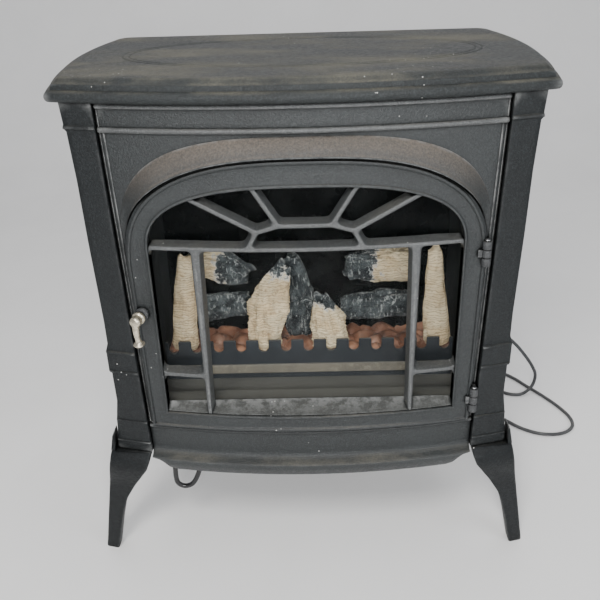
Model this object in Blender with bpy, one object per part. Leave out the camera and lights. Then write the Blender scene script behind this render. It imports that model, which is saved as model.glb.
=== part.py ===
"""Freestanding electric stove: a bow-fronted cast-iron body on four splayed legs, with an arched,
hinged door, a log set with a flame effect, a fan heater and a pull-out control box.

Metres, +Z up, front towards -Y. The origin is on the floor under the middle of the stove.
"""

import math

import bmesh
import bpy
from mathutils import Matrix, Vector

for old in list(bpy.data.objects):
    bpy.data.objects.remove(old, do_unlink=True)

# ---------------------------------------------------------------- driving dimensions
HEIGHT = 0.805              # floor to the top of the top plate
TOP_THICKNESS = 0.030
TOP_HALF_WIDTH = 0.331      # at the front corners
TOP_BACK_HALF_WIDTH = 0.3185
TOP_SIDE_BULGE = 0.0205
BOW_RADIUS = 1.22           # of every front casting, seen from above
BOW_HALF_CHORD = 0.33
BOW_STEP = 0.055            # the bow is a run of flat strips of this width
DEPTH = 0.413
FRONT_Y = -0.1595           # where the bow meets the front corners
BACK_Y = DEPTH / 2
GAP = 0.0004                # clearance between castings that touch

# offsets from the bow, positive towards the back
SURROUND_FACE = 0.0170
SURROUND_BACK = 0.0230
DOOR_FACE = 0.0075
DOOR_BACK = 0.0163
PILASTER_FACE = 0.0075
BAR_FACE = 0.0090
BAR_BACK = 0.0275

# heights
BODY_BOTTOM = 0.2212
BODY_TOP = HEIGHT - TOP_THICKNESS - GAP
APRON_TOP = 0.2715
APRON_BOTTOM = 0.1985
DOOR_BOTTOM = 0.2745
FLOOR_Z = 0.290             # top of the firebox floor
FRIEZE_BEAD_Z = 0.7387

# arches are superellipses: half width, spring height, rise, power
DOOR_ARCH = (0.2515, 0.545, 0.1605, 2.6)
LIP_ARCH = (0.2540, 0.545, 0.1630, 2.6)
HOOD_ARCH = (0.2575, 0.560, 0.1720, 3.0)
WINDOW_ARCH = (0.2175, 0.570, 0.0955, 2.6)
DOOR_HALF_BOTTOM = 0.2460
WINDOW_BOTTOM = 0.3045
COLLAR = 0.006              # width of the deep rim round the window
OPENING_MARGIN = 0.0095     # from the window to the opening in the surround
GLASS_PLANE = 0.0015        # depth of the flat pane's front, behind the front corners

# grille
BAR_FRONT_WIDTH = 0.0050
BAR_BACK_WIDTH = 0.0125
MULLION_WIDEN = 0.0060         # how much wider a mullion is at its top
GRILLE_BAR_Z = 0.5775
MULLION_X = 0.1520
CROSSBAR_Z = 0.3715
HUB_HALF = 0.0800
HUB_SHOULDER = (0.0660, 0.6030)
HUB_TOP = (0.0360, 0.6120)
SPOKE_ENDS = ((0.0690, 0.6640), (0.1520, 0.6490))

# hinges and handle
HINGE_X = 0.2500
HINGE_DEPTH = 0.0030 - 0.0195
KNUCKLE_RADIUS = 0.0065
PIN_RADIUS = 0.0025
PIN_CLEARANCE = 0.00007
HINGES = {"upper": (0.539, 0.577), "lower": (0.293, 0.335)}
HANDLE_X = -0.2375
HANDLE_Z = 0.4745
SHAFT_RADIUS = 0.0040
BOSS = 0.0033               # the handle's seat, proud of the door's face

# cord
CORD_RADIUS = 0.0035
COIL_CENTRE = (0.315, 0.302)
COIL_RADIUS = 0.0400

IRON = ((0.030, 0.033, 0.035), 0.55, 0.6)
SHEET = ((0.045, 0.045, 0.045), 0.5, 0.7)
GREY_BOARD = ((0.16, 0.17, 0.16), 0.8, 0.0)
BEIGE_BOARD = ((0.42, 0.40, 0.33), 0.9, 0.0)
BARK = ((0.42, 0.30, 0.18), 0.9, 0.0)
CHAR = ((0.05, 0.06, 0.07), 0.9, 0.0)
EMBER = ((0.45, 0.16, 0.06), 0.6, 0.0)
GLASS = ((0.6, 0.65, 0.65), 0.05, 0.0)
SCREEN = ((0.02, 0.02, 0.02), 0.2, 0.0)
BRASS = ((0.62, 0.57, 0.46), 0.3, 1.0)
STEEL = ((0.5, 0.5, 0.5), 0.35, 1.0)
BLACK_PLASTIC = ((0.02, 0.02, 0.02), 0.4, 0.0)
RED_PLASTIC = ((0.5, 0.03, 0.02), 0.35, 0.0)
ROPE = ((0.55, 0.52, 0.45), 0.95, 0.0)
LAMP_GLASS = ((0.9, 0.85, 0.7), 0.1, 0.0)


# ---------------------------------------------------------------- helpers
def material(look):
    """One Principled material for each look, made once."""
    colour, roughness, metallic = look
    name = "m_%02x%02x%02x_%d" % (*[round(c * 255) for c in colour], round(roughness * 100))
    made = bpy.data.materials.get(name)
    if made is None:
        made = bpy.data.materials.new(name)
        made.use_nodes = True
        shader = made.node_tree.nodes["Principled BSDF"]
        shader.inputs["Base Color"].default_value = (*colour, 1)
        shader.inputs["Roughness"].default_value = roughness
        shader.inputs["Metallic"].default_value = metallic
        made.diffuse_color = (*colour, 1)
    return made


def finish(name, bm, look, smooth=False):
    """Turns a bmesh into an object with outward normals and its own material."""
    bmesh.ops.remove_doubles(bm, verts=bm.verts, dist=1e-6)
    bmesh.ops.recalc_face_normals(bm, faces=bm.faces)
    if bm.calc_volume(signed=True) < 0:
        bmesh.ops.reverse_faces(bm, faces=bm.faces)
    mesh = bpy.data.meshes.new(name)
    bm.to_mesh(mesh)
    bm.free()
    mesh.materials.append(material(look))
    if smooth:
        mesh.shade_smooth()
        mesh.set_sharp_from_angle(angle=math.radians(35))
    obj = bpy.data.objects.new(name, mesh)
    bpy.context.scene.collection.objects.link(obj)
    return obj


def depth(value):
    """The y of a point this far behind the front corners."""
    return FRONT_Y + value


def bow(x):
    """The y of the bow at x: straight between strips BOW_STEP wide."""
    def on_circle(at):
        at = min(abs(at), 0.9 * BOW_RADIUS)
        return math.sqrt(BOW_RADIUS ** 2 - BOW_HALF_CHORD ** 2) - math.sqrt(BOW_RADIUS ** 2 - at ** 2)
    low = math.floor(x / BOW_STEP) * BOW_STEP
    share = (x - low) / BOW_STEP
    return FRONT_Y + on_circle(low) * (1 - share) + on_circle(low + BOW_STEP) * share


def bow_angle(x):
    """How far the bow's face has turned outwards at x, in radians."""
    return math.asin(x / BOW_RADIUS)


def prism(bm, outline, y0, y1, holes=()):
    """A slab with this outline of (x, z) points and these holes, from y0 to y1."""
    edges = []
    for loop in (outline, *holes):
        verts = [bm.verts.new((x, y0, z)) for x, z in loop]
        edges += [bm.edges.new((a, b)) for a, b in zip(verts, verts[1:] + verts[:1])]
    filled = bmesh.ops.triangle_fill(bm, use_beauty=True, use_dissolve=False, edges=edges)
    faces = [g for g in filled["geom"] if isinstance(g, bmesh.types.BMFace)]
    grown = bmesh.ops.extrude_face_region(bm, geom=faces)
    moved = [g for g in grown["geom"] if isinstance(g, bmesh.types.BMVert)]
    bmesh.ops.translate(bm, vec=(0, y1 - y0, 0), verts=moved)


def loft(bm, rings):
    """A closed solid through rings of equal length, capped at both ends."""
    rows = [[bm.verts.new(p) for p in ring] for ring in rings]
    count = len(rows[0])
    for a, b in zip(rows, rows[1:]):
        for i in range(count):
            bm.faces.new((a[i], a[(i + 1) % count], b[(i + 1) % count], b[i]))
    bm.faces.new(rows[0])
    bm.faces.new(rows[-1][::-1])


def box(bm, low, high):
    """A box between two corners."""
    size = [h - l for l, h in zip(low, high)]
    centre = [(l + h) / 2 for l, h in zip(low, high)]
    made = bmesh.ops.create_cube(bm, size=1)
    bmesh.ops.scale(bm, vec=size, verts=made["verts"])
    bmesh.ops.translate(bm, vec=centre, verts=made["verts"])


def turned(bm, profile, centre, axis, sides=16):
    """A solid of revolution: (distance along the axis, radius) points, from centre along axis."""
    turn = Vector((0, 0, 1)).rotation_difference(Vector(axis)).to_matrix()
    rings = []
    for along, radius in profile:
        ring = []
        for i in range(sides):
            angle = 2 * math.pi * i / sides
            local = Vector((radius * math.cos(angle), radius * math.sin(angle), along))
            ring.append(Vector(centre) + turn @ local)
        rings.append(ring)
    loft(bm, rings)


def cylinder(bm, centre, axis, radius, length, sides=16):
    """A cylinder that starts at centre and runs along axis."""
    turned(bm, [(0, radius), (length, radius)], centre, axis, sides)


def tube(bm, points, radii, sides=8):
    """A tube through points, with one radius for all of them or one for each."""
    points = [Vector(p) for p in points]
    radii = radii if isinstance(radii, (list, tuple)) else [radii] * len(points)
    ahead = [(b - a).normalized() for a, b in zip(points, points[1:])]
    ahead = [ahead[0]] + [(a + b).normalized() for a, b in zip(ahead, ahead[1:])] + [ahead[-1]]
    side = ahead[0].orthogonal().normalized()
    rings = []
    for point, direction, radius in zip(points, ahead, radii):
        side = (side - direction * side.dot(direction)).normalized()
        up = direction.cross(side)
        rings.append([point + radius * (math.cos(2 * math.pi * i / sides) * side
                                        + math.sin(2 * math.pi * i / sides) * up)
                      for i in range(sides)])
    loft(bm, rings)


def smooth_path(points, step):
    """Points about step apart on a smooth curve through points."""
    points = [Vector(p) for p in points]
    padded = [2 * points[0] - points[1], *points, 2 * points[-1] - points[-2]]
    found = [points[0]]
    for a, b, c, d in zip(padded, padded[1:], padded[2:], padded[3:]):
        pieces = max(1, round((c - b).length / step))
        for i in range(1, pieces + 1):
            t = i / pieces
            found.append(0.5 * (2 * b + (c - a) * t + (2 * a - 5 * b + 4 * c - d) * t ** 2
                                + (3 * b - 3 * c + d - a) * t ** 3))
    return found


def shape(name, look, build, smooth=False):
    """An object from a function that fills a bmesh."""
    bm = bmesh.new()
    build(bm)
    return finish(name, bm, look, smooth)


def combine(target, tool, operation):
    """Joins tool to target, or cuts it away, and removes tool."""
    modifier = target.modifiers.new("combine", "BOOLEAN")
    modifier.operation = operation
    modifier.object = tool
    modifier.solver = "EXACT"
    bpy.context.view_layer.update()
    made = bpy.data.meshes.new_from_object(target.evaluated_get(bpy.context.evaluated_depsgraph_get()))
    target.modifiers.clear()
    bm = bmesh.new()
    bm.from_mesh(made)
    bmesh.ops.remove_doubles(bm, verts=bm.verts, dist=2e-6)
    bmesh.ops.triangulate(bm, faces=bm.faces)
    bm.to_mesh(made)
    bm.free()
    target.data = made
    bpy.data.objects.remove(tool, do_unlink=True)


def join(target, build):
    combine(target, shape("tool", IRON, build), "UNION")


def cut(target, build):
    combine(target, shape("tool", IRON, build), "DIFFERENCE")


def bend(obj, flat_from=None, flat_y=0.0):
    """Wraps a flat object round the bow. Points behind flat_from go to the plane flat_y instead."""
    bm = bmesh.new()
    bm.from_mesh(obj.data)
    bmesh.ops.dissolve_limit(bm, verts=bm.verts, edges=bm.edges, angle_limit=math.radians(0.2))
    bmesh.ops.triangulate(bm, faces=bm.faces)
    xs = [v.co.x for v in bm.verts]
    for k in range(math.ceil(min(xs) / BOW_STEP), math.floor(max(xs) / BOW_STEP) + 1):
        geometry = bm.verts[:] + bm.edges[:] + bm.faces[:]
        bmesh.ops.bisect_plane(bm, geom=geometry, dist=1e-7,
                               plane_co=(k * BOW_STEP, 0, 0), plane_no=(1, 0, 0))
    for v in bm.verts:
        if flat_from is not None and v.co.y > flat_from:
            v.co.y = flat_y
        else:
            v.co.y += bow(v.co.x)
            if flat_from is not None:
                v.co.y = min(v.co.y, flat_y - 0.0004)
    bmesh.ops.triangulate(bm, faces=bm.faces)
    bm.to_mesh(obj.data)
    bm.free()


def arch(values, steps, grow=0.0):
    """The arch's (x, z) points from its right spring over the top to its left spring."""
    half, spring, rise, power = values
    half += grow
    rise += grow
    points = []
    for i in range(steps + 1):
        angle = math.pi * i / steps
        c, s = math.cos(angle), math.sin(angle)
        x = half * math.copysign(abs(c) ** (2 / power), c)
        points.append((x, spring + rise * abs(s) ** (2 / power)))
    return points


def window_outline(grow, steps=20):
    """The door's window, grown by this much all round."""
    bottom = WINDOW_BOTTOM - grow
    half = WINDOW_ARCH[0] + grow
    return [(half, bottom), *arch(WINDOW_ARCH, steps, grow), (-half, bottom)]


def mirrored(build, side):
    """Runs build at x > 0 and mirrors what it made to side."""
    def run(bm):
        build(bm)
        if side < 0:
            bmesh.ops.scale(bm, vec=(-1, 1, 1), verts=bm.verts)
    return run


def mix(a, b, t):
    return a + (b - a) * t


# ---------------------------------------------------------------- top plate
def top_outline(inset):
    """The top plate seen from above, this far inside its widest edge."""
    points = []
    strips = int(TOP_HALF_WIDTH // BOW_STEP)
    xs = [-TOP_HALF_WIDTH, *[k * BOW_STEP for k in range(-strips, strips + 1)], TOP_HALF_WIDTH]
    points += [(x, bow(x)) for x in xs]
    back = []
    for i in range(1, 9):
        t = i / 9
        x = mix(TOP_HALF_WIDTH, TOP_BACK_HALF_WIDTH, t) + TOP_SIDE_BULGE * 4 * t * (1 - t)
        back.append((x, mix(FRONT_Y, BACK_Y, t)))
    back.append((TOP_BACK_HALF_WIDTH + 0.001, BACK_Y - 0.012))
    back.append((TOP_BACK_HALF_WIDTH - 0.004, BACK_Y - 0.003))
    back.append((TOP_BACK_HALF_WIDTH - 0.013, BACK_Y))
    points += back
    points += [(-x, y) for x, y in reversed(back)]
    moved = []
    count = len(points)
    for i in range(count):
        a, b, c = Vector(points[i - 1]), Vector(points[i]), Vector(points[(i + 1) % count])
        n1 = Vector((-(b - a).y, (b - a).x)).normalized()
        n2 = Vector((-(c - b).y, (c - b).x)).normalized()
        n = (n1 + n2).normalized()
        moved.append(b + n * inset / max(0.5, n.dot(n1)))
    return moved


def build_top(bm):
    bottom = HEIGHT - TOP_THICKNESS
    profile = ((bottom, 0.0065), (bottom + 0.0025, 0.0020), (bottom + 0.0075, 0.0),
               (bottom + 0.0125, 0.0020), (bottom + 0.0155, 0.0080), (bottom + 0.0225, 0.0100),
               (HEIGHT - 0.0040, 0.0135), (HEIGHT - 0.0010, 0.0175), (HEIGHT, 0.0210))
    middle = 0.0100
    hollow = [[(0.85 * p.x, middle + 0.74 * (p.y - middle), z) for p in top_outline(0.0065)]
              for z in (HEIGHT - 0.0080, bottom)]
    loft(bm, hollow + [[(p.x, p.y, z) for p in top_outline(inset)] for z, inset in profile])


shape("top_plate", IRON, build_top)


# ---------------------------------------------------------------- front surround
def inner_line(z):
    """Half the width of the front between the pilasters."""
    return mix(0.2539, 0.2677, (z - 0.2687) / (FRIEZE_BEAD_Z - 0.2687))


def outer_line_points(low, high):
    return [(inner_line(low), low), (inner_line(high), high),
            (-inner_line(high), high), (-inner_line(low), low)]


def opening_outline():
    outline = window_outline(OPENING_MARGIN, 16)
    slot = [(-0.2270, 0.4445), (-0.2430, 0.4445), (-0.2430, 0.4815), (-0.2270, 0.4815)]
    return outline[:-1] + slot[::-1] + outline[-1:]


def lip_depth(x, z):
    """How far forward the hood's lip stands: fully at the top, nothing by the springs."""
    t = min(1.0, max(0.0, (z - 0.600) / (0.672 - 0.600)))
    return mix(SURROUND_FACE - 0.0004, 0.0, t * t * (3 - 2 * t))


def build_hood(bm):
    steps = 28
    outer = arch(HOOD_ARCH, steps)
    lip = arch(LIP_ARCH, steps)
    rings = []
    for (xo, zo), (xl, zl) in list(zip(outer, lip))[2:-2]:
        y = lip_depth(xl, zl)
        drop = 0.0022 * (1 - y / SURROUND_FACE)
        back = SURROUND_FACE + 0.002
        thick = mix(zl, zo, 0.35)
        rings.append([(xo, back, zo), (xo, SURROUND_FACE - 0.001, zo),
                      (xl, y, zl + 0.0004), (xl * 0.999, y + 0.0003, zl - drop),
                      (mix(xl, xo, 0.35), back, thick)])
    loft(bm, rings)


def bead(bm, x0, x1, z, face, proud, half=0.0030):
    """A straight half-round bead on a flat face."""
    section = [(face + 0.0010, z - half), (face - proud * 0.7, z - half * 0.7),
               (face - proud, z), (face - proud * 0.7, z + half * 0.7), (face + 0.0010, z + half)]
    loft(bm, [[(x0, y, h) for y, h in section], [(x1, y, h) for y, h in section]])


surround = shape("front_surround", IRON, lambda bm: prism(
    bm, outer_line_points(APRON_TOP + 0.0004, BODY_TOP), SURROUND_FACE, SURROUND_BACK,
    [opening_outline()]))
join(surround, build_hood)
join(surround, lambda bm: bead(bm, -0.2675, 0.2675, FRIEZE_BEAD_Z, SURROUND_FACE, 0.0045))
join(surround, lambda bm: bead(bm, -0.2680, 0.2680, BODY_TOP - 0.0040, SURROUND_FACE, 0.0045))
bend(surround)


# hinge lugs, joined after the bend so that their bores stay true
def build_lugs(bm):
    for low, high in HINGES.values():
        third = (high - low) / 3
        for z in (low, high - third):
            cylinder(bm, (HINGE_X, depth(HINGE_DEPTH), z), (0, 0, 1), KNUCKLE_RADIUS, third, 12)


def build_lug_arms(bm):
    for low, high in HINGES.values():
        third = (high - low) / 3
        for z in (low, high - third):
            box(bm, (HINGE_X - 0.0030, depth(HINGE_DEPTH), z + 0.0005),
                (HINGE_X + 0.0045, depth(HINGE_DEPTH) + 0.0165, z + third - 0.0005))


def build_bores(bm):
    for low, high in HINGES.values():
        cylinder(bm, (HINGE_X, depth(HINGE_DEPTH), low - 0.003), (0, 0, 1),
                 PIN_RADIUS + PIN_CLEARANCE, high - low + 0.006, 16)


join(surround, build_lugs)
join(surround, build_lug_arms)
cut(surround, build_bores)
for name, (low, high) in HINGES.items():
    shape(name + "_hinge_pin", STEEL, lambda bm: turned(
        bm, [(0, PIN_RADIUS), (high - low + 0.002, PIN_RADIUS), (high - low + 0.002, 0.0040),
             (high - low + 0.0035, 0.0038), (high - low + 0.0045, 0.0015)],
        (HINGE_X, depth(HINGE_DEPTH), low - 0.0015), (0, 0, 1), 16), True)


# ---------------------------------------------------------------- apron
def build_apron(bm):
    section = [(0.0125, 0.2703), (0.0170, APRON_TOP), (0.0230, APRON_TOP), (0.0230, 0.1890),
               (0.0060, 0.1890), (0.0030, 0.1960), (0.0005, 0.2055), (0.0, 0.2150),
               (0.0060, 0.2178), (0.0140, 0.2200), (0.0168, 0.2240), (0.0168, 0.2645),
               (0.0130, 0.2655)]
    loft(bm, [[(x, y, z) for y, z in section] for x in (-0.2535, 0.2535)])


def build_apron_ends(bm):
    """The outline that trims the apron: its bottom sweeps up into the legs."""
    half = [(0.2530, 0.280), (0.2520, 0.2160), (0.2440, 0.2125), (0.2370, 0.2024),
            (0.2270, 0.1935), (0.2160, 0.1910)]
    prism(bm, half + [(-x, z) for x, z in reversed(half)], -0.02, 0.06)


apron = shape("hearth_apron", IRON, build_apron)
combine(apron, shape("tool", IRON, build_apron_ends), "INTERSECT")
bend(apron)


# ---------------------------------------------------------------- pilasters
PILASTER_OUTER = ((0.3132, BODY_BOTTOM), (0.3085, 0.2540), (0.3068, 0.2770), (0.3014, 0.3130),
                  (0.3020, 0.3640), (0.3055, 0.3690), (0.3055, 0.4040), (0.3017, 0.4160),
                  (0.3016, 0.4550), (0.3055, 0.5800), (0.3070, 0.6700), (0.3104, 0.7370),
                  (0.3145, 0.7410), (0.3132, 0.7460), (0.3155, BODY_TOP))


def pilaster(side):
    def face(bm):
        outer = list(PILASTER_OUTER)
        inner = [(inner_line(z) + 0.0010, z) for z in (BODY_TOP, BODY_BOTTOM)]
        prism(bm, outer + inner, PILASTER_FACE, 0.0265)

    def bands(bm):
        for low, high, proud in ((0.3656, 0.4050, 0.0025), (0.7410, 0.7460, 0.0020)):
            x = inner_line(high) + 0.0012
            box(bm, (x, PILASTER_FACE - proud, low), (0.3050, PILASTER_FACE + 0.003, high))
        for z in (0.2770, 0.2380):
            box(bm, (inner_line(z) + 0.0012, PILASTER_FACE - 0.0015, z - 0.002),
                (0.3066, PILASTER_FACE + 0.003, z + 0.002))

    name = ("left" if side < 0 else "right") + "_pilaster"
    obj = shape(name, IRON, mirrored(face, side))
    join(obj, mirrored(bands, side))
    bend(obj)


pilaster(-1)
pilaster(1)


# ---------------------------------------------------------------- shell
SIDE_FRONT = (0.3000, 0.0210)
SIDE_BACK = (0.2700, 0.3440)
SHEET_THICKNESS = 0.0020
PANEL_BOTTOM = 0.2030


def side_x(y):
    """The side panel's outer face at a depth."""
    return mix(SIDE_FRONT[0], SIDE_BACK[0], (y - SIDE_FRONT[1]) / (SIDE_BACK[1] - SIDE_FRONT[1]))


def build_side(bm):
    (x0, y0), (x1, y1) = SIDE_FRONT, SIDE_BACK
    ring = [(x0, depth(y0)), (x1, depth(y1)), (x1 - SHEET_THICKNESS, depth(y1)),
            (x0 - SHEET_THICKNESS, depth(y0))]
    loft(bm, [[(x, y, z) for x, y in ring] for z in (PANEL_BOTTOM, BODY_TOP)])


def side_rib(y0, y1, z0, z1):
    """A raised rib that stiffens the side casting."""
    def run(bm):
        proud = 0.0030 if y1 - y0 > 0.1 else 0.0025
        ring = [(side_x(y0) + proud, depth(y0)), (side_x(y1) + proud, depth(y1)),
                (side_x(y1) - 0.0010, depth(y1)), (side_x(y0) - 0.0010, depth(y0))]
        loft(bm, [[(x, y, z) for x, y in ring] for z in (z0, z1)])
    return run


SIDE_RIBS = ((0.045, 0.320, 0.270, 0.276), (0.045, 0.320, 0.715, 0.721),
             (0.047, 0.053, 0.275, 0.716), (0.312, 0.318, 0.275, 0.716))

for side, name in ((-1, "left_side_panel"), (1, "right_side_panel")):
    panel = shape(name, IRON, mirrored(build_side, side))
    for rib in SIDE_RIBS:
        join(panel, mirrored(side_rib(*rib), side))


def build_back(bm):
    prism(bm, [(-0.2690, PANEL_BOTTOM), (0.2690, PANEL_BOTTOM), (0.2690, BODY_TOP),
               (-0.2690, BODY_TOP)], depth(0.3446), depth(0.3470))


def back_slots(bm):
    for row in range(3):
        for column in range(6):
            x = -0.180 + column * 0.0520
            z = 0.640 + row * 0.018
            box(bm, (x, depth(0.340), z), (x + 0.040, depth(0.350), z + 0.006))
    for row in range(3):
        for column in range(4):
            x = -0.110 + column * 0.0520
            z = 0.220 + row * 0.014
            box(bm, (x, depth(0.340), z), (x + 0.040, depth(0.350), z + 0.006))
    cylinder(bm, (0.2500, depth(0.338), 0.2350), (0, 1, 0), 0.0062, 0.02, 16)


cut(shape("back_panel", SHEET, build_back), back_slots)


def build_bottom(bm):
    ring = [(-0.2900, depth(0.0240)), (0.2900, depth(0.0240)), (0.2660, depth(0.3440)),
            (-0.2660, depth(0.3440))]
    loft(bm, [[(x, y, z) for x, y in ring] for z in (0.1985, 0.2015)])


def bottom_slots(bm):
    for row in range(2):
        for column in range(4):
            x = -0.085 + column * 0.0520
            y = 0.062 + row * 0.016
            box(bm, (x, depth(y), 0.190), (x + 0.044, depth(y + 0.009), 0.210))


cut(shape("bottom_plate", SHEET, build_bottom), bottom_slots)


# ---------------------------------------------------------------- legs
LEG_OUTER = ((0.3140, 0.2208), (0.3140, 0.2440), (0.3168, 0.2490), (0.3210, 0.2270),
             (0.3256, 0.2045), (0.3330, 0.1650), (0.3398, 0.1300), (0.3515, 0.0650),
             (0.3585, 0.0250), (0.3632, 0.0))
LEG_INNER = ((0.3398, 0.0), (0.3345, 0.0250), (0.3262, 0.0621), (0.3190, 0.0901),
             (0.3090, 0.1179), (0.2931, 0.1464), (0.2810, 0.1660), (0.2731, 0.1793),
             (0.2640, 0.1930), (0.2585, 0.2072), (0.2560, 0.2208))
REAR_LEG_TOP = 0.1980


def leg(front, side):
    """A splayed cabriole leg, turned a little outwards."""
    def knee(z):
        return 0.010 * math.exp(-((z - 0.190) / 0.030) ** 2)

    def run(bm):
        prism(bm, [*LEG_OUTER, *LEG_INNER], 0.0, 1.0)
        turn = 0.25
        for v in bm.verts:
            thick = mix(0.024, 0.026, min(1.0, v.co.z / 0.22))
            if v.co.y < 0.5:
                v.co.y = -knee(v.co.z)
            else:
                v.co.y = thick
            v.co.y += (v.co.x - 0.30) * turn - 0.013
        edges = [e for e in bm.edges if len(e.link_faces) == 2 and e.calc_face_angle(0) > 1.0
                 and abs(e.verts[0].co.y - e.verts[1].co.y) < 0.018
                 and max(v.co.z for v in e.verts) < 0.2207 and min(v.co.z for v in e.verts) > 0.0005]
        edges = [e for e in edges if all(v.co.y < (v.co.x - 0.30) * turn for v in e.verts)]
        bmesh.ops.bevel(bm, geom=edges, offset=0.0035, segments=1, affect="EDGES",
                        clamp_overlap=True)
        for v in bm.verts:
            v.co.x = side * (v.co.x if front else v.co.x - 0.0200)
            v.co.y = depth(v.co.y + 0.0060) if front else depth(0.3405 - v.co.y * 0.9)
        if not front:
            everything = bm.verts[:] + bm.edges[:] + bm.faces[:]
            bmesh.ops.bisect_plane(bm, geom=everything, plane_co=(0, 0, REAR_LEG_TOP),
                                   plane_no=(0, 0, 1), clear_outer=True)
            rim = [e for e in bm.edges if e.is_boundary]
            bmesh.ops.contextual_create(bm, geom=rim)
    return run


for front in (True, False):
    for side in (-1, 1):
        name = ("front" if front else "rear") + ("_left_leg" if side < 0 else "_right_leg")
        shape(name, IRON, leg(front, side))


# ---------------------------------------------------------------- firebox
LINER = (0.2415, 0.0130, 0.2720, 0.2840, 0.7020)


def build_liner(bm):
    half, y0, y1, z0, z1 = LINER
    box(bm, (-half, depth(y0), z0), (half, depth(y1), z1))


def liner_hollow(bm):
    half, y0, y1, z0, z1 = LINER
    box(bm, (-half + 0.0015, depth(y0 - 0.01), z0 - 0.01), (half - 0.0015, depth(y1 - 0.0015), z1 - 0.0015))


cut(shape("firebox_liner", GREY_BOARD, build_liner), liner_hollow)


def build_floor(bm):
    section = [(0.0130, FLOOR_Z - 0.004), (0.2700, FLOOR_Z - 0.004), (0.2700, FLOOR_Z),
               (0.0390, FLOOR_Z), (0.0390, FLOOR_Z + 0.0130), (0.0130, FLOOR_Z + 0.0130)]
    loft(bm, [[(x, depth(y), z) for y, z in section] for x in (-0.2390, 0.2390)])


shape("firebox_floor", GREY_BOARD, build_floor)


def build_fence(bm):
    pitch, slot = 0.0370, 0.0165
    points = [(-0.2360, FLOOR_Z + GAP), (0.2360, FLOOR_Z + GAP), (0.2360, 0.3620)]
    for k in range(6, -7, -1):
        x = k * pitch
        if abs(x) > 0.225:
            continue
        points += [(x + slot / 2, 0.3620), (x + slot / 2, 0.3450), (x + 0.004, 0.3400),
                   (x - 0.004, 0.3400), (x - slot / 2, 0.3450), (x - slot / 2, 0.3620)]
    points.append((-0.2360, 0.3620))
    prism(bm, points, depth(0.0925), depth(0.0965))


shape("ember_fence", GREY_BOARD, build_fence)
shape("ember_trim_strip", BEIGE_BOARD, lambda bm: box(
    bm, (-0.2360, depth(0.0885), 0.3020), (0.2360, depth(0.0921), 0.3180)))


def build_embers(bm):
    across, back = 27, 7
    grid = []
    for j in range(back + 1):
        y = mix(0.0975, 0.1850, j / back)
        row = []
        for i in range(across + 1):
            x = mix(-0.2350, 0.2350, i / across)
            wave = math.sin(i * 2.1 + j * 1.3) + math.sin(i * 0.9 - j * 2.2) + math.sin(j * 3.7 + i)
            row.append(bm.verts.new((x, depth(y), 0.3370 + 0.0022 * wave)))
        grid.append(row)
    for a, b in zip(grid, grid[1:]):
        for i in range(across):
            bm.faces.new((a[i], a[i + 1], b[i + 1], b[i]))
    rim = [e for e in bm.edges if e.is_boundary]
    grown = bmesh.ops.extrude_edge_only(bm, edges=rim)
    low = [g for g in grown["geom"] if isinstance(g, bmesh.types.BMVert)]
    for v in low:
        v.co.z = FLOOR_Z + GAP
    bmesh.ops.contextual_create(bm, geom=[e for e in bm.edges if e.is_boundary])


shape("ember_bed", EMBER, build_embers, True)

# every log: look, path of (x, depth, z) points, radius at each point
LOGS = {
    "log_left_upright": (BARK, [(-0.2065, 0.117, 0.3480), (-0.1990, 0.117, 0.430),
                                (-0.1915, 0.117, 0.5120)], (0.0230, 0.0185, 0.0105)),
    "log_right_upright": (BARK, [(0.2142, 0.117, 0.3480), (0.2060, 0.117, 0.430),
                                 (0.2016, 0.117, 0.5120)], (0.0225, 0.0185, 0.0095)),
    "log_centre_left": (BARK, [(-0.0750, 0.118, 0.3480), (-0.0620, 0.118, 0.420),
                               (-0.0370, 0.118, 0.4880)], (0.0290, 0.0330, 0.0110)),
    "log_centre_chunk": (CHAR, [(-0.0150, 0.160, 0.3480), (-0.0150, 0.160, 0.430),
                                (-0.0280, 0.160, 0.4850)], (0.0240, 0.0240, 0.0130)),
    "log_centre_right": (BARK, [(0.0400, 0.118, 0.3480), (0.0300, 0.118, 0.390),
                                (0.0215, 0.118, 0.4320)], (0.0300, 0.0270, 0.0110)),
    "log_left_charred": (CHAR, [(-0.1880, 0.160, 0.3860), (-0.1400, 0.160, 0.393),
                                (-0.0960, 0.160, 0.3960)], (0.0250, 0.0270, 0.0200)),
    "log_right_charred": (CHAR, [(0.0560, 0.160, 0.3850), (0.1200, 0.160, 0.3900),
                                 (0.1800, 0.160, 0.3920)], (0.0200, 0.0255, 0.0230)),
    "log_left_upper": (BARK, [(-0.1760, 0.162, 0.4780), (-0.1400, 0.162, 0.4640),
                              (-0.0980, 0.162, 0.4480)], (0.0240, 0.0260, 0.0170)),
    "log_right_upper": (CHAR, [(0.1850, 0.162, 0.4610), (0.1200, 0.162, 0.4600),
                               (0.0640, 0.162, 0.4620)], (0.0310, 0.0300, 0.0230)),
}
LOG_FLATNESS = 0.62     # a log's depth over its height


def build_log(bm, path, radii):
    points = [Vector((x, depth(y), z)) for x, y, z in path]
    run = smooth_path(points, 0.014)
    sizes = []
    for i in range(len(run)):
        t = i / (len(run) - 1) * 2
        base = mix(radii[0], radii[1], t) if t < 1 else mix(radii[1], radii[2], t - 1)
        sizes.append(base * (1 + 0.04 * math.sin(i * 2.4 + radii[0] * 900)))
    tube(bm, run, sizes, 10)
    middle = depth(path[0][1])
    for v in bm.verts:
        v.co.y = middle + LOG_FLATNESS * (v.co.y - middle)


for name, (look, path, radii) in LOGS.items():
    shape(name, look, lambda bm: build_log(bm, path, radii), True)

shape("flame_screen", SCREEN, lambda bm: box(
    bm, (-0.2370, depth(0.1960), FLOOR_Z + GAP), (0.2370, depth(0.1990), 0.6960)))


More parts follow.
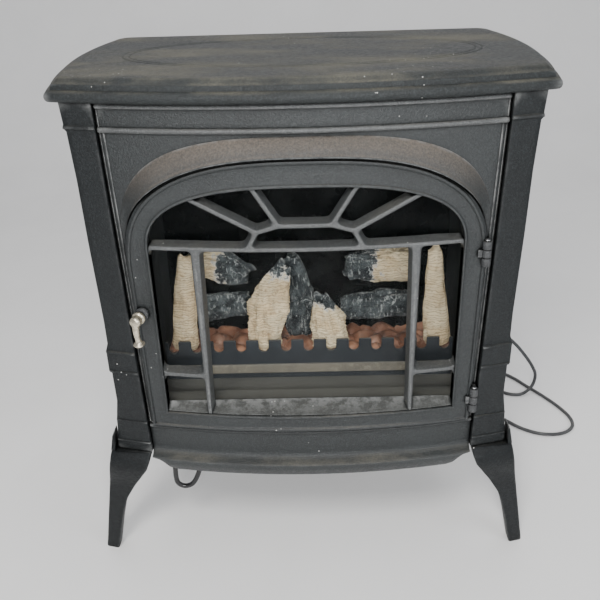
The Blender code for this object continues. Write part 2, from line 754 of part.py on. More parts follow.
# ---------------------------------------------------------------- flame effect
SPINDLE = (0.2360, 0.4000)      # depth and height of its axis


def build_spindle(bm):
    sides, rings = 8, []
    for i in range(19):
        x = mix(-0.2150, 0.1880, i / 18)
        flap = 0.0160 if i % 2 else 0.0200
        if i in (0, 18):
            flap = 0.0040
        ring = []
        for k in range(sides):
            angle = 2 * math.pi * k / sides + i * 0.20
            radius = flap if k % 2 == 0 or flap < 0.005 else 0.0060
            ring.append((x, depth(SPINDLE[0]) + radius * math.cos(angle),
                         SPINDLE[1] + radius * math.sin(angle)))
        rings.append(ring)
    loft(bm, rings)


shape("flame_spindle", STEEL, build_spindle)
shape("flame_motor", SHEET, lambda bm: turned(
    bm, [(0, 0.0180), (0.022, 0.0180), (0.025, 0.0120), (0.0400, 0.0120)],
    (0.1960, depth(SPINDLE[0]), SPINDLE[1]), (1, 0, 0), 16), True)


bracket = shape("lamp_bracket", SHEET, lambda bm: box(
    bm, (-0.1250, depth(0.2050), FLOOR_Z + GAP), (0.1250, depth(0.2420), FLOOR_Z + 0.0040)))
for x in (-0.0300, 0.0300):
    join(bracket, lambda bm: box(bm, (x - 0.010, depth(0.2070), FLOOR_Z + 0.0020),
                                 (x + 0.010, depth(0.2400), FLOOR_Z + 0.0400)))


def build_lamp(bm):
    profile = [(0, 0.0070), (0.018, 0.0070), (0.022, 0.0095), (0.032, 0.0150), (0.046, 0.0165),
               (0.060, 0.0120), (0.070, 0.0040)]
    turned(bm, profile, (0.0404, depth(0.2240), FLOOR_Z + 0.0230), (1, 0, 0), 14)


shape("lamp_left", LAMP_GLASS, mirrored(build_lamp, -1), True)
shape("lamp_right", LAMP_GLASS, mirrored(build_lamp, 1), True)

# ---------------------------------------------------------------- fan heater
HEATER = (-0.1000, 0.1400, 0.0560, 0.2600, 0.2020, 0.2700)


def build_heater(bm):
    """A duct, open to the back for the intake and to the front for the warm air."""
    x0, x1, y0, y1, z0, z1 = HEATER
    wall = 0.0020
    outer = [(x0, z0), (x1, z0), (x1, z1), (x0, z1)]
    inner = [(x0 + wall, z0 + wall), (x1 - wall, z0 + wall), (x1 - wall, z1 - wall), (x0 + wall, z1 - wall)]
    prism(bm, outer, depth(y0), depth(y1), [inner])


shape("heater_housing", SHEET, build_heater)


def build_element(bm):
    """A serpentine of sheathed heating rod."""
    points = []
    for k in range(8):
        z = 0.2120 + k * 0.0070
        ends = (-0.0900, 0.1300) if k % 2 == 0 else (0.1300, -0.0900)
        points += [(x, depth(0.1180 + 0.0025 * (k % 2)), z) for x in ends]
    tube(bm, points, 0.0022, 6)


shape("heating_element", STEEL, build_element)
BLOWER = (0.1820, 0.2360)


def build_blower(bm):
    teeth, rings = 14, []
    for x, scale in ((-0.0900, 1.0), (0.0850, 1.0)):
        ring = []
        for k in range(teeth * 2):
            angle = math.pi * k / teeth
            radius = (0.0230 if k % 2 else 0.0170) * scale
            ring.append((x, depth(BLOWER[0]) + radius * math.cos(angle),
                         BLOWER[1] + radius * math.sin(angle)))
        rings.append(ring)
    loft(bm, rings)


shape("blower_wheel", BLACK_PLASTIC, build_blower)
shape("blower_motor", SHEET, lambda bm: turned(
    bm, [(0, 0.0060), (0.004, 0.0060), (0.004, 0.0200), (0.042, 0.0200), (0.046, 0.0140)],
    (0.0880, depth(BLOWER[0]), BLOWER[1]), (1, 0, 0), 16), True)


# ---------------------------------------------------------------- door
def door_outline(grow):
    half = DOOR_HALF_BOTTOM + grow
    return [(half, DOOR_BOTTOM - grow), *arch(DOOR_ARCH, 24, grow), (-half, DOOR_BOTTOM - grow)]


def ring(bm, outer, inner, y0, y1):
    prism(bm, outer, y0, y1, [inner])


def bar(bm, a, b, widen=0.0):
    """A grille bar between two (x, z) points: wide at the back, narrow in front."""
    (xa, za), (xb, zb) = a, b
    across = Vector((-(zb - za), xb - xa)).normalized()
    rings = []
    for (x, z), extra in ((a, 0.0), (b, widen)):
        front, back = BAR_FRONT_WIDTH + extra, BAR_BACK_WIDTH + extra
        corners = ((front, BAR_FACE), (front, BAR_FACE), (back, BAR_BACK), (back, BAR_BACK))
        ring_points = []
        for (width, y), sign in zip(corners, (-1, 1, 1, -1)):
            ring_points.append((x + sign * across.x * width / 2, y, z + sign * across.y * width / 2))
        rings.append(ring_points)
    loft(bm, rings)


reach = WINDOW_ARCH[0] + 0.0030
BARS = [((-reach, GRILLE_BAR_Z), (reach, GRILLE_BAR_Z))]
for side in (-1, 1):
    BARS.append(((side * MULLION_X, WINDOW_BOTTOM - 0.003), (side * MULLION_X, GRILLE_BAR_Z)))
    BARS.append(((side * MULLION_X, CROSSBAR_Z), (side * reach, CROSSBAR_Z)))
    BARS.append(((side * HUB_HALF, GRILLE_BAR_Z), (side * HUB_SHOULDER[0], HUB_SHOULDER[1])))
    BARS.append(((side * HUB_SHOULDER[0], HUB_SHOULDER[1]), (side * HUB_TOP[0], HUB_TOP[1])))
    BARS.append(((side * HUB_TOP[0], HUB_TOP[1]), (side * SPOKE_ENDS[0][0], SPOKE_ENDS[0][1])))
    BARS.append(((side * HUB_SHOULDER[0], HUB_SHOULDER[1]), (side * SPOKE_ENDS[1][0], SPOKE_ENDS[1][1])))
BARS.append(((-HUB_TOP[0] - 0.0010, HUB_TOP[1] + 0.0002), (HUB_TOP[0] + 0.0013, HUB_TOP[1] + 0.0002)))

door = shape("door_frame", IRON, lambda bm: prism(
    bm, door_outline(0.0), DOOR_FACE, DOOR_BACK, [window_outline(0.0)]))
join(door, lambda bm: ring(bm, window_outline(COLLAR), window_outline(0.0003), DOOR_BACK - 0.002, 0.0290))
join(door, lambda bm: ring(bm, door_outline(-0.0020), door_outline(-0.0085), DOOR_FACE - 0.0030,
                           DOOR_FACE + 0.001))
join(door, lambda bm: ring(bm, window_outline(0.0055), window_outline(0.0006), DOOR_FACE - 0.0018,
                           DOOR_FACE + 0.001))
for a, b in BARS:
    upright = a[0] == b[0]
    join(door, lambda bm: bar(bm, a, b, MULLION_WIDEN if upright else 0.0))
bend(door, 0.0280, depth(GLASS_PLANE - 0.0033))


def hinge_notches(bm):
    for low, high in HINGES.values():
        third = (high - low) / 3
        for z0, z1 in ((low - 0.0025, low + third + 0.0004), (high - third - 0.0004, high + 0.0042)):
            box(bm, (HINGE_X - 0.0074, depth(-0.04), z0), (HINGE_X + 0.02, depth(0.03), z1))


def door_knuckles(bm):
    for low, high in HINGES.values():
        third = (high - low) / 3
        cylinder(bm, (HINGE_X, depth(HINGE_DEPTH), low + third + 0.0004), (0, 0, 1),
                 KNUCKLE_RADIUS, third - 0.0008, 12)


def door_arms(bm):
    for low, high in HINGES.values():
        third = (high - low) / 3
        box(bm, (HINGE_X - 0.0120, depth(HINGE_DEPTH - 0.0020), low + third + 0.0008),
            (HINGE_X, depth(HINGE_DEPTH + 0.0090), high - third - 0.0008))


cut(door, hinge_notches)
join(door, door_knuckles)
join(door, door_arms)
cut(door, build_bores)

# the handle's own frame: a point on the door's face, outwards and across
slope = (bow(HANDLE_X + 0.001) - bow(HANDLE_X - 0.001)) / 0.002
OUTWARD = Vector((slope, -1, 0)).normalized()
ACROSS = Vector((1, slope, 0)).normalized()
HANDLE_AT = Vector((HANDLE_X, bow(HANDLE_X) + DOOR_FACE, HANDLE_Z))


def at_handle(across, out, up):
    """A point in the handle's frame, in world coordinates."""
    return HANDLE_AT + ACROSS * across + OUTWARD * out + Vector((0, 0, up))


join(door, lambda bm: cylinder(bm, at_handle(0, -0.0020, 0), OUTWARD, 0.0094, BOSS + 0.0020, 20))
cut(door, lambda bm: cylinder(bm, at_handle(0, -0.03, 0), OUTWARD,
                              SHAFT_RADIUS + PIN_CLEARANCE, 0.05, 20))

glass = shape("door_glass", GLASS, lambda bm: prism(
    bm, window_outline(0.0050), depth(GLASS_PLANE), depth(GLASS_PLANE + 0.0035)))
shape("glass_gasket", ROPE, lambda bm: ring(
    bm, window_outline(0.0055), window_outline(0.0010), depth(GLASS_PLANE - 0.0029),
    depth(GLASS_PLANE - 0.0004)))

# ---------------------------------------------------------------- handle
rosette = shape("handle_rosette", BRASS, lambda bm: turned(
    bm, [(BOSS + GAP, 0.0100), (0.0056, 0.0100), (0.0068, 0.0085), (0.0078, 0.0062)],
    HANDLE_AT, OUTWARD, 20), True)
cut(rosette, lambda bm: cylinder(bm, at_handle(0, -0.01, 0), OUTWARD,
                                 SHAFT_RADIUS + PIN_CLEARANCE, 0.05, 20))


def build_handle(bm):
    """Shaft, neck, ball, stem and flared foot in one casting."""
    turned(bm, [(-0.0205, 0.0028), (-0.0165, 0.0028), (-0.0165, SHAFT_RADIUS), (0.0128, SHAFT_RADIUS),
                (0.0134, 0.0092), (0.0170, 0.0098), (0.0186, 0.0088), (0.0198, 0.0070),
                (0.0222, 0.0070), (0.0242, 0.0081), (0.0284, 0.0084), (0.0320, 0.0068), (0.0335, 0.0032)],
           HANDLE_AT, OUTWARD, 20)


def handle_stem(bm):
    points = [at_handle(0, 0.0282, 0), at_handle(-0.0005, 0.0280, -0.0080),
              at_handle(-0.0008, 0.0276, -0.0180), at_handle(-0.0005, 0.0266, -0.0280),
              at_handle(0, 0.0258, -0.0330), at_handle(0, 0.0255, -0.0355), at_handle(0, 0.0252, -0.0385)]
    tube(bm, points, [0.0050, 0.0052, 0.0046, 0.0039, 0.0048, 0.0084, 0.0080], 14)


handle = shape("door_handle", BRASS, build_handle, True)
combine(handle, shape("tool", BRASS, handle_stem, True), "UNION")


def build_cam(bm):
    """A flat cam on the shaft's inner end."""
    outline = [(0.0050, 0.0), (0.0035, 0.0040), (0.0, 0.0052), (-0.0035, 0.0040), (-0.0050, 0.0),
               (-0.0036, -0.0160), (-0.0015, -0.0180), (0.0015, -0.0180), (0.0036, -0.0160)]
    hole = [(0.00285 * math.cos(math.pi * k / 8), 0.00285 * math.sin(math.pi * k / 8))
            for k in range(16)]
    edges = []
    for loop in (outline, hole):
        verts = [bm.verts.new(at_handle(x, -0.0168, z)) for x, z in loop]
        edges += [bm.edges.new((a, b)) for a, b in zip(verts, verts[1:] + verts[:1])]
    filled = bmesh.ops.triangle_fill(bm, use_beauty=True, use_dissolve=False, edges=edges)
    faces = [g for g in filled["geom"] if isinstance(g, bmesh.types.BMFace)]
    grown = bmesh.ops.extrude_face_region(bm, geom=faces)
    moved = [g for g in grown["geom"] if isinstance(g, bmesh.types.BMVert)]
    bmesh.ops.translate(bm, vec=OUTWARD * -0.0030, verts=moved)


shape("latch_cam", STEEL, build_cam)
shape("latch_strike", STEEL, lambda bm: loft(bm, [
    [at_handle(x, out, z) for x, out in ((-0.0200, -0.0160), (-0.0080, -0.0160),
                                         (-0.0080, -0.0215), (-0.0200, -0.0215))]
    for z in (0.0058, 0.0110)]))

# ---------------------------------------------------------------- controls under the stove
HOUSING = (-0.2480, -0.1220, 0.0760, 0.2320, 0.1480, 0.1980)
DRAWER = (-0.2445, -0.1255, 0.0750, 0.2260, 0.1502, 0.1680)
PANEL_TOP = 0.1880


def build_housing(bm):
    x0, x1, y0, y1, z0, z1 = HOUSING
    section = [(x0, z1), (x1, z1), (x1, z0), (x1 - 0.0080, z0), (x1 - 0.0080, z0 + 0.0016),
               (x1 - 0.0016, z0 + 0.0016), (x1 - 0.0016, z1 - 0.0016), (x0 + 0.0016, z1 - 0.0016),
               (x0 + 0.0016, z0 + 0.0016), (x0 + 0.0080, z0 + 0.0016), (x0 + 0.0080, z0), (x0, z0)]
    prism(bm, section, depth(y0), depth(y1))


shape("control_housing", SHEET, build_housing)


def build_drawer(bm):
    x0, x1, y0, y1, z0, z1 = DRAWER
    box(bm, (x0, depth(y0), z0), (x1, depth(y1), z1))


def drawer_front(bm):
    box(bm, (DRAWER[0] - 0.0030, depth(0.0720), 0.1485), (DRAWER[1] + 0.0030, depth(0.0755), PANEL_TOP))


SWITCHES = {"power_switch": -0.2150, "heat_switch": -0.1850}
SWITCH_Y = 0.1080
KNOBS = {"thermostat_knob": -0.2120, "flame_knob": -0.1580}
KNOB_Y = 0.1700


def switch_pockets(bm):
    for x in SWITCHES.values():
        box(bm, (x - 0.0070, depth(SWITCH_Y - 0.0115), 0.1600), (x + 0.0070, depth(SWITCH_Y + 0.0115), 0.18))


drawer = shape("control_drawer", SHEET, build_drawer)
join(drawer, drawer_front)
cut(drawer, switch_pockets)

for name, x in SWITCHES.items():
    look = RED_PLASTIC if name == "power_switch" else BLACK_PLASTIC
    rocker = [(-0.0100, 0.1690), (-0.0100, 0.1720), (0.0, 0.1700), (0.0100, 0.1740), (0.0100, 0.1690),
              (0.0040, 0.1640), (-0.0040, 0.1640)]
    shape(name, look, lambda bm: loft(bm, [[(x + dx, depth(SWITCH_Y) + y, z) for y, z in rocker]
                                           for dx in (-0.0060, 0.0060)]))

for name, x in KNOBS.items():
    knob = shape(name, BLACK_PLASTIC, lambda bm: turned(
        bm, [(0, 0.0150), (0.0030, 0.0150), (0.0040, 0.0128), (0.0135, 0.0118), (0.0150, 0.0105)],
        (x, depth(KNOB_Y), DRAWER[5] + GAP), (0, 0, 1), 24), True)
    join(knob, lambda bm: box(bm, (x - 0.0012, depth(KNOB_Y) - 0.0125, DRAWER[5] + 0.010),
                              (x + 0.0012, depth(KNOB_Y) - 0.0020, DRAWER[5] + 0.0162)))

WIRE_RADIUS = 0.0042
WIRE_POINTS = [(-0.2295, 0.0716, 0.1760), (-0.2295, 0.0480, 0.1760), (-0.2297, 0.0340, 0.1700),
               (-0.2300, 0.0300, 0.1580), (-0.2305, 0.0300, 0.1312), (-0.2271, 0.0300, 0.1197),
               (-0.2174, 0.0300, 0.1143), (-0.2062, 0.0300, 0.1175), (-0.1980, 0.0300, 0.1276),
               (-0.1890, 0.0300, 0.1500), (-0.1855, 0.0330, 0.1680), (-0.1850, 0.0480, 0.1760),
               (-0.1850, 0.0716, 0.1760)]
shape("wire_pull", STEEL, lambda bm: tube(
    bm, smooth_path([(x, depth(y), z) for x, y, z in WIRE_POINTS], 0.008), WIRE_RADIUS, 8), True)

# ---------------------------------------------------------------- mains cord
EXIT = (0.2500, 0.2350)
shape("strain_relief", BLACK_PLASTIC, lambda bm: turned(
    bm, [(-0.0040, 0.0058), (0.0030, 0.0058), (0.0030, 0.0095), (0.0060, 0.0090), (0.0070, 0.0068),
         (0.0400, 0.0048)],
    (EXIT[0], depth(0.3444), EXIT[1]), (0, 1, 0), 16), True)

CORD_POINTS = [(0.2500, 0.3849, 0.2350), (0.2500, 0.4020, 0.2350), (0.2570, 0.4210, 0.2335),
               (0.2710, 0.4350, 0.2300), (0.2900, 0.4430, 0.2240), (0.3200, 0.4480, 0.2130),
               (0.3560, 0.4510, 0.1960), (0.3920, 0.4530, 0.1750), (0.4243, 0.4550, 0.1520),
               (0.4500, 0.4550, 0.1280), (0.4720, 0.4550, 0.1010), (0.4910, 0.4560, 0.0730),
               (0.5025, 0.4583, 0.0470), (0.5000, 0.4575, 0.0220), (0.4870, 0.4512, 0.0082),
               (0.4680, 0.4435, 0.0040), (0.4470, 0.4460, 0.0038), (0.4280, 0.4590, 0.0038),
               (0.4150, 0.4800, 0.0038), (0.4130, 0.5060, 0.0038), (0.4260, 0.5280, 0.0038),
               (0.4510, 0.5300, 0.0038), (0.4720, 0.5090, 0.0038), (0.4898, 0.4800, 0.0038),
               (0.5150, 0.4410, 0.0038), (0.5380, 0.3990, 0.0038), (0.5520, 0.3600, 0.0038),
               (0.5510, 0.3280, 0.0038), (0.5330, 0.3060, 0.0038), (0.5060, 0.2970, 0.0038),
               (0.4731, 0.3010, 0.0038), (0.4420, 0.3190, 0.0038), (0.4150, 0.3480, 0.0038),
               (0.3880, 0.3790, 0.0038), (0.3600, 0.4050, 0.0038)]
shape("cord_tube", BLACK_PLASTIC, lambda bm: tube(
    bm, smooth_path([(x, depth(y), z) for x, y, z in CORD_POINTS], 0.013), CORD_RADIUS, 6), True)


def build_coil(bm):
    """The spare cord, wound in a ring on the floor."""
    section = [(0.0065, 0.0004), (0.0072, 0.0040), (0.0072, 0.0110), (0.0050, 0.0145),
               (-0.0050, 0.0145), (-0.0072, 0.0110), (-0.0072, 0.0040), (-0.0065, 0.0004)]
    count, rings = 36, []
    for i in range(count):
        angle = 2 * math.pi * i / count
        rings.append([bm.verts.new((COIL_CENTRE[0] + (COIL_RADIUS + r) * math.cos(angle),
                                    COIL_CENTRE[1] + (COIL_RADIUS + r) * math.sin(angle), z))
                      for r, z in section])
    for a, b in zip(rings, rings[1:] + rings[:1]):
        for i in range(len(section)):
            j = (i + 1) % len(section)
            bm.faces.new((a[i], a[j], b[j], b[i]))


shape("cord_coil", BLACK_PLASTIC, build_coil, True)

PLUG_X = COIL_CENTRE[0] - 0.0295
PLUG_Y = COIL_CENTRE[1] - 0.0436
plug = shape("plug", BLACK_PLASTIC, lambda bm: loft(bm, [
    [(PLUG_X - along, PLUG_Y + half * c, 0.0125 + tall * s)
     for c, s in ((-1, -0.7), (-0.7, -1), (0.7, -1), (1, -0.7), (1, 0.7), (0.7, 1), (-0.7, 1), (-1, 0.7))]
    for along, half, tall in ((0, 0.0060, 0.0060), (0.012, 0.0110, 0.0090), (0.022, 0.0130, 0.0110),
                              (0.032, 0.0130, 0.0110))]))
for y in (-0.0064, 0.0064):
    join(plug, lambda bm: box(bm, (PLUG_X - 0.0500, PLUG_Y + y - 0.0008, 0.0095),
                              (PLUG_X - 0.0300, PLUG_Y + y + 0.0008, 0.0160)))
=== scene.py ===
import math

import bmesh
import bpy
from mathutils import Matrix, Vector, noise


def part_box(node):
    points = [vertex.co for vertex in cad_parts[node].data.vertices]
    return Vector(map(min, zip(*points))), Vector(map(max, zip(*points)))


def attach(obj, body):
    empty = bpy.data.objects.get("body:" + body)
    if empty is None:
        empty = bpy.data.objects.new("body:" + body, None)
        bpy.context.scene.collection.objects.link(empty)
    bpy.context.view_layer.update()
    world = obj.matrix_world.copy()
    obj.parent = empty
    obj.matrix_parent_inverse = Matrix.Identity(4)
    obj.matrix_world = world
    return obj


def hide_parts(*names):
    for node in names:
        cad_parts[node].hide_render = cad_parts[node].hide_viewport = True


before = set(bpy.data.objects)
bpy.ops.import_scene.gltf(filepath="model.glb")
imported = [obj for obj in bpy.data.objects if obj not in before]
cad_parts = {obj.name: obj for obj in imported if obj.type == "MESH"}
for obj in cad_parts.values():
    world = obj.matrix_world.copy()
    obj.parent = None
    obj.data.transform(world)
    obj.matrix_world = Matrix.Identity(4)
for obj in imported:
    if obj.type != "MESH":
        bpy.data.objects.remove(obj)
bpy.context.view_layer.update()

# ---------------------------------------------------------------- the stove's own sizes, in metres
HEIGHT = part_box("top_plate")[1][2]
TOP_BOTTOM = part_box("top_plate")[0][2]
BOW_RADIUS = 1.22
BOW_HALF_CHORD = 0.33
FRONT_Y = -0.1595           # the front corners of the bow
BACK_Y = 0.2065
BOW_STEP = 0.055
BODY_TOP = 0.7746
BODY_BOTTOM = 0.2212
FRIEZE_Z = 0.7387
DOOR_ARCH = (0.2515, 0.545, 0.1605, 2.6)
LIP_ARCH = (0.2540, 0.545, 0.1630, 2.6)
HOOD_ARCH = (0.2575, 0.560, 0.1720, 3.0)
WINDOW_ARCH = (0.2175, 0.570, 0.0955, 2.6)
DOOR_HALF_BOTTOM = 0.2460
DOOR_BOTTOM = 0.2745
WINDOW_BOTTOM = 0.3045


# ---------------------------------------------------------------- mesh helpers
def mix(a, b, t):
    return a + (b - a) * t


def ramp(x, points):
    """A piecewise-linear function of x through (x, value) points."""
    if x <= points[0][0]:
        return points[0][1]
    for (x0, v0), (x1, v1) in zip(points, points[1:]):
        if x <= x1:
            return mix(v0, v1, (x - x0) / (x1 - x0))
    return points[-1][1]


def smooth(t):
    t = min(1.0, max(0.0, t))
    return t * t * (3 - 2 * t)


def steps(a, b, count):
    return [mix(a, b, i / count) for i in range(count + 1)]


def depth(value):
    return FRONT_Y + value


def bow(x):
    """The y of the bowed front at x, on the true circle."""
    at = min(abs(x), 0.9 * BOW_RADIUS)
    flat = math.sqrt(BOW_RADIUS ** 2 - BOW_HALF_CHORD ** 2)
    return FRONT_Y + flat - math.sqrt(BOW_RADIUS ** 2 - at ** 2)


def strip_bow(x):
    """The bow as the frame's flat strips have it, for pieces that sit on them."""
    low = math.floor(x / BOW_STEP) * BOW_STEP
    return mix(bow(low), bow(low + BOW_STEP), (x - low) / BOW_STEP)


def wobble(x, y, z, scale, seed=0.0):
    """Smooth noise from -1 to 1."""
    return noise.noise(Vector((x * scale + seed, y * scale - seed, z * scale + 2 * seed)))


def loft(bm, rings, closed=True, caps=True, loop=False):
    """Skins rings of equal length. loop joins the last ring to the first."""
    rows = [[bm.verts.new(p) for p in ring] for ring in rings]
    count = len(rows[0])
    pairs = list(zip(rows, rows[1:])) + ([(rows[-1], rows[0])] if loop else [])
    for a, b in pairs:
        for i in range(count if closed else count - 1):
            j = (i + 1) % count
            bm.faces.new((a[i], a[j], b[j], b[i]))
    if caps and closed and not loop:
        bm.faces.new(rows[0][::-1])
        bm.faces.new(rows[-1])
    return rows


def prism(bm, outline, y0, y1, holes=()):
    """A slab with this outline of (x, z) points, from y0 to y1."""
    edges = []
    for points in (outline, *holes):
        verts = [bm.verts.new((x, y0, z)) for x, z in points]
        edges += [bm.edges.new((a, b)) for a, b in zip(verts, verts[1:] + verts[:1])]
    filled = bmesh.ops.triangle_fill(bm, use_beauty=True, use_dissolve=True, edges=edges)
    faces = [g for g in filled["geom"] if isinstance(g, bmesh.types.BMFace)]
    grown = bmesh.ops.extrude_face_region(bm, geom=faces)
    moved = [g for g in grown["geom"] if isinstance(g, bmesh.types.BMVert)]
    bmesh.ops.translate(bm, vec=(0, y1 - y0, 0), verts=moved)


def turned(bm, profile, centre, axis, sides=32):
    """A solid of revolution from (along, radius) points."""
    turn = Vector((0, 0, 1)).rotation_difference(Vector(axis)).to_matrix()
    rings = []
    for along, radius in profile:
        rings.append([Vector(centre) + turn @ Vector((radius * math.cos(a), radius * math.sin(a), along))
                      for a in [2 * math.pi * i / sides for i in range(sides)]])
    loft(bm, rings)


def tube(bm, points, radii, sides=16):
    """A tube through points; radii is one number, a list, or a function of share and angle."""
    points = [Vector(p) for p in points]
    ahead = [(b - a).normalized() for a, b in zip(points, points[1:])]
    ahead = [ahead[0]] + [(a + b).normalized() for a, b in zip(ahead, ahead[1:])] + [ahead[-1]]
    side = ahead[0].orthogonal().normalized()
    rings = []
    for k, (point, direction) in enumerate(zip(points, ahead)):
        side = (side - direction * side.dot(direction)).normalized()
        up = direction.cross(side)
        ring = []
        for i in range(sides):
            angle = 2 * math.pi * i / sides
            if callable(radii):
                radius = radii(k / (len(points) - 1), angle)
            else:
                radius = radii[k] if isinstance(radii, (list, tuple)) else radii
            ring.append(point + radius * (math.cos(angle) * side + math.sin(angle) * up))
        rings.append(ring)
    loft(bm, rings)


def smooth_path(points, step):
    """Points about step apart on a smooth curve through points."""
    points = [Vector(p) for p in points]
    padded = [2 * points[0] - points[1], *points, 2 * points[-1] - points[-2]]
    found = [points[0]]
    for a, b, c, d in zip(padded, padded[1:], padded[2:], padded[3:]):
        pieces = max(1, round((c - b).length / step))
        for i in range(1, pieces + 1):
            t = i / pieces
            found.append(0.5 * (2 * b + (c - a) * t + (2 * a - 5 * b + 4 * c - d) * t ** 2
                                + (3 * b - 3 * c + d - a) * t ** 3))
    return found


def arch(values, count, grow=0.0):
    """A superellipse arch from its right spring over the top to its left spring."""
    half, spring, rise, power = values
    half += grow
    rise += grow
    points = []
    for i in range(count + 1):
        angle = math.pi * i / count
        c, s = math.cos(angle), math.sin(angle)
        x = half * math.copysign(abs(c) ** (2 / power), c)
        points.append((x, spring + rise * abs(s) ** (2 / power)))
    return points


def piece(name, build, material, body, replaces=(), bevel=0.0,
          segments=2, sharp=38):
    """A finished piece: its mesh, material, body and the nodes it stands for."""
    bm = bmesh.new()
    build(bm)
    bmesh.ops.remove_doubles(bm, verts=bm.verts, dist=1e-6)
    bmesh.ops.recalc_face_normals(bm, faces=bm.faces)
    mesh = bpy.data.meshes.new(name)
    bm.to_mesh(mesh)
    bm.free()
    mesh.materials.append(material)
    mesh.shade_smooth()
    mesh.set_sharp_from_angle(angle=math.radians(sharp))
    obj = bpy.data.objects.new(name, mesh)
    bpy.context.scene.collection.objects.link(obj)
    if bevel:
        modifier = obj.modifiers.new("edges", "BEVEL")
        modifier.width = bevel
        modifier.segments = segments
        modifier.limit_method = "ANGLE"
        modifier.angle_limit = math.radians(32)
        modifier.harden_normals = True
        mesh.set_sharp_from_angle(angle=math.radians(180))
    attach(obj, body)
    if replaces:
        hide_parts(*replaces)
    return obj


# ---------------------------------------------------------------- materials
class Nodes:
    """A short way to write a shader's nodes."""

    def __init__(self, name):
        self.material = bpy.data.materials.new(name)
        self.material.use_nodes = True
        self.tree = self.material.node_tree
        self.shader = self.tree.nodes["Principled BSDF"]
        self.where = self.tree.nodes.new("ShaderNodeTexCoord").outputs["Object"]

    def node(self, kind, **values):
        made = self.tree.nodes.new(kind)
        for key, value in values.items():
            setattr(made, key, value)
        return made

    def put(self, socket, value):
        if isinstance(value, bpy.types.NodeSocket):
            self.tree.links.new(value, socket)
        else:
            socket.default_value = value

    def noise(self, scale, detail=4.0, rough=0.55, stretch=None):
        made = self.node("ShaderNodeTexNoise")
        self.put(made.inputs["Scale"], scale)
        self.put(made.inputs["Detail"], detail)
        self.put(made.inputs["Roughness"], rough)
        self.put(made.inputs["Vector"], self.stretched(stretch) if stretch else self.where)
        return made.outputs["Fac"]

    def cells(self, scale, feature="F1", stretch=None):
        made = self.node("ShaderNodeTexVoronoi", feature=feature)
        self.put(made.inputs["Scale"], scale)
        self.put(made.inputs["Vector"], self.stretched(stretch) if stretch else self.where)
        return made.outputs["Distance"]

    def stretched(self, factors):
        made = self.node("ShaderNodeMapping")
        self.put(made.inputs["Vector"], self.where)
        self.put(made.inputs["Scale"], factors)
        return made.outputs["Vector"]

    def span(self, value, low, high, to_low=0.0, to_high=1.0):
        """Maps low..high to to_low..to_high, smoothly and held at both ends."""
        made = self.node("ShaderNodeMapRange", interpolation_type="SMOOTHSTEP")
        self.put(made.inputs["Value"], value)
        for key, number in zip(("From Min", "From Max", "To Min", "To Max"), (low, high, to_low, to_high)):
            self.put(made.inputs[key], number)
        return made.outputs["Result"]

    def maths(self, operation, a, b=0.0):
        made = self.node("ShaderNodeMath", operation=operation)
        self.put(made.inputs[0], a)
        self.put(made.inputs[1], b)
        return made.outputs["Value"]

    def colours(self, share, a, b):
        made = self.node("ShaderNodeMix", data_type="RGBA")
        self.put(made.inputs["Factor"], share)
        self.put(made.inputs["A"], a if isinstance(a, bpy.types.NodeSocket) else (*a, 1))
        self.put(made.inputs["B"], b if isinstance(b, bpy.types.NodeSocket) else (*b, 1))
        return made.outputs["Result"]

    def normal_z(self):
        geometry = self.node("ShaderNodeNewGeometry")
        apart = self.node("ShaderNodeSeparateXYZ")
        self.put(apart.inputs["Vector"], geometry.outputs["Normal"])
        return apart.outputs["Z"]

    def edges(self):
        return self.node("ShaderNodeNewGeometry").outputs["Pointiness"]

    def height(self):
        apart = self.node("ShaderNodeSeparateXYZ")
        self.put(apart.inputs["Vector"], self.where)
        return apart.outputs

    def bump(self, height, distance, strength=1.0, under=None):
        made = self.node("ShaderNodeBump")
        self.put(made.inputs["Height"], height)
        self.put(made.inputs["Distance"], distance)
        self.put(made.inputs["Strength"], strength)
        if under is not None:
            self.put(made.inputs["Normal"], under)
        return made.outputs["Normal"]

    def finish(self, colour, roughness, normal=None, **constants):
        self.put(self.shader.inputs["Base Color"], colour if isinstance(colour, bpy.types.NodeSocket)
                 else (*colour, 1))
        self.put(self.shader.inputs["Roughness"], roughness)
        if normal is not None:
            self.put(self.shader.inputs["Normal"], normal)
        for key, value in constants.items():
            self.shader.inputs[key.replace("_", " ")].default_value = value
        return self.material


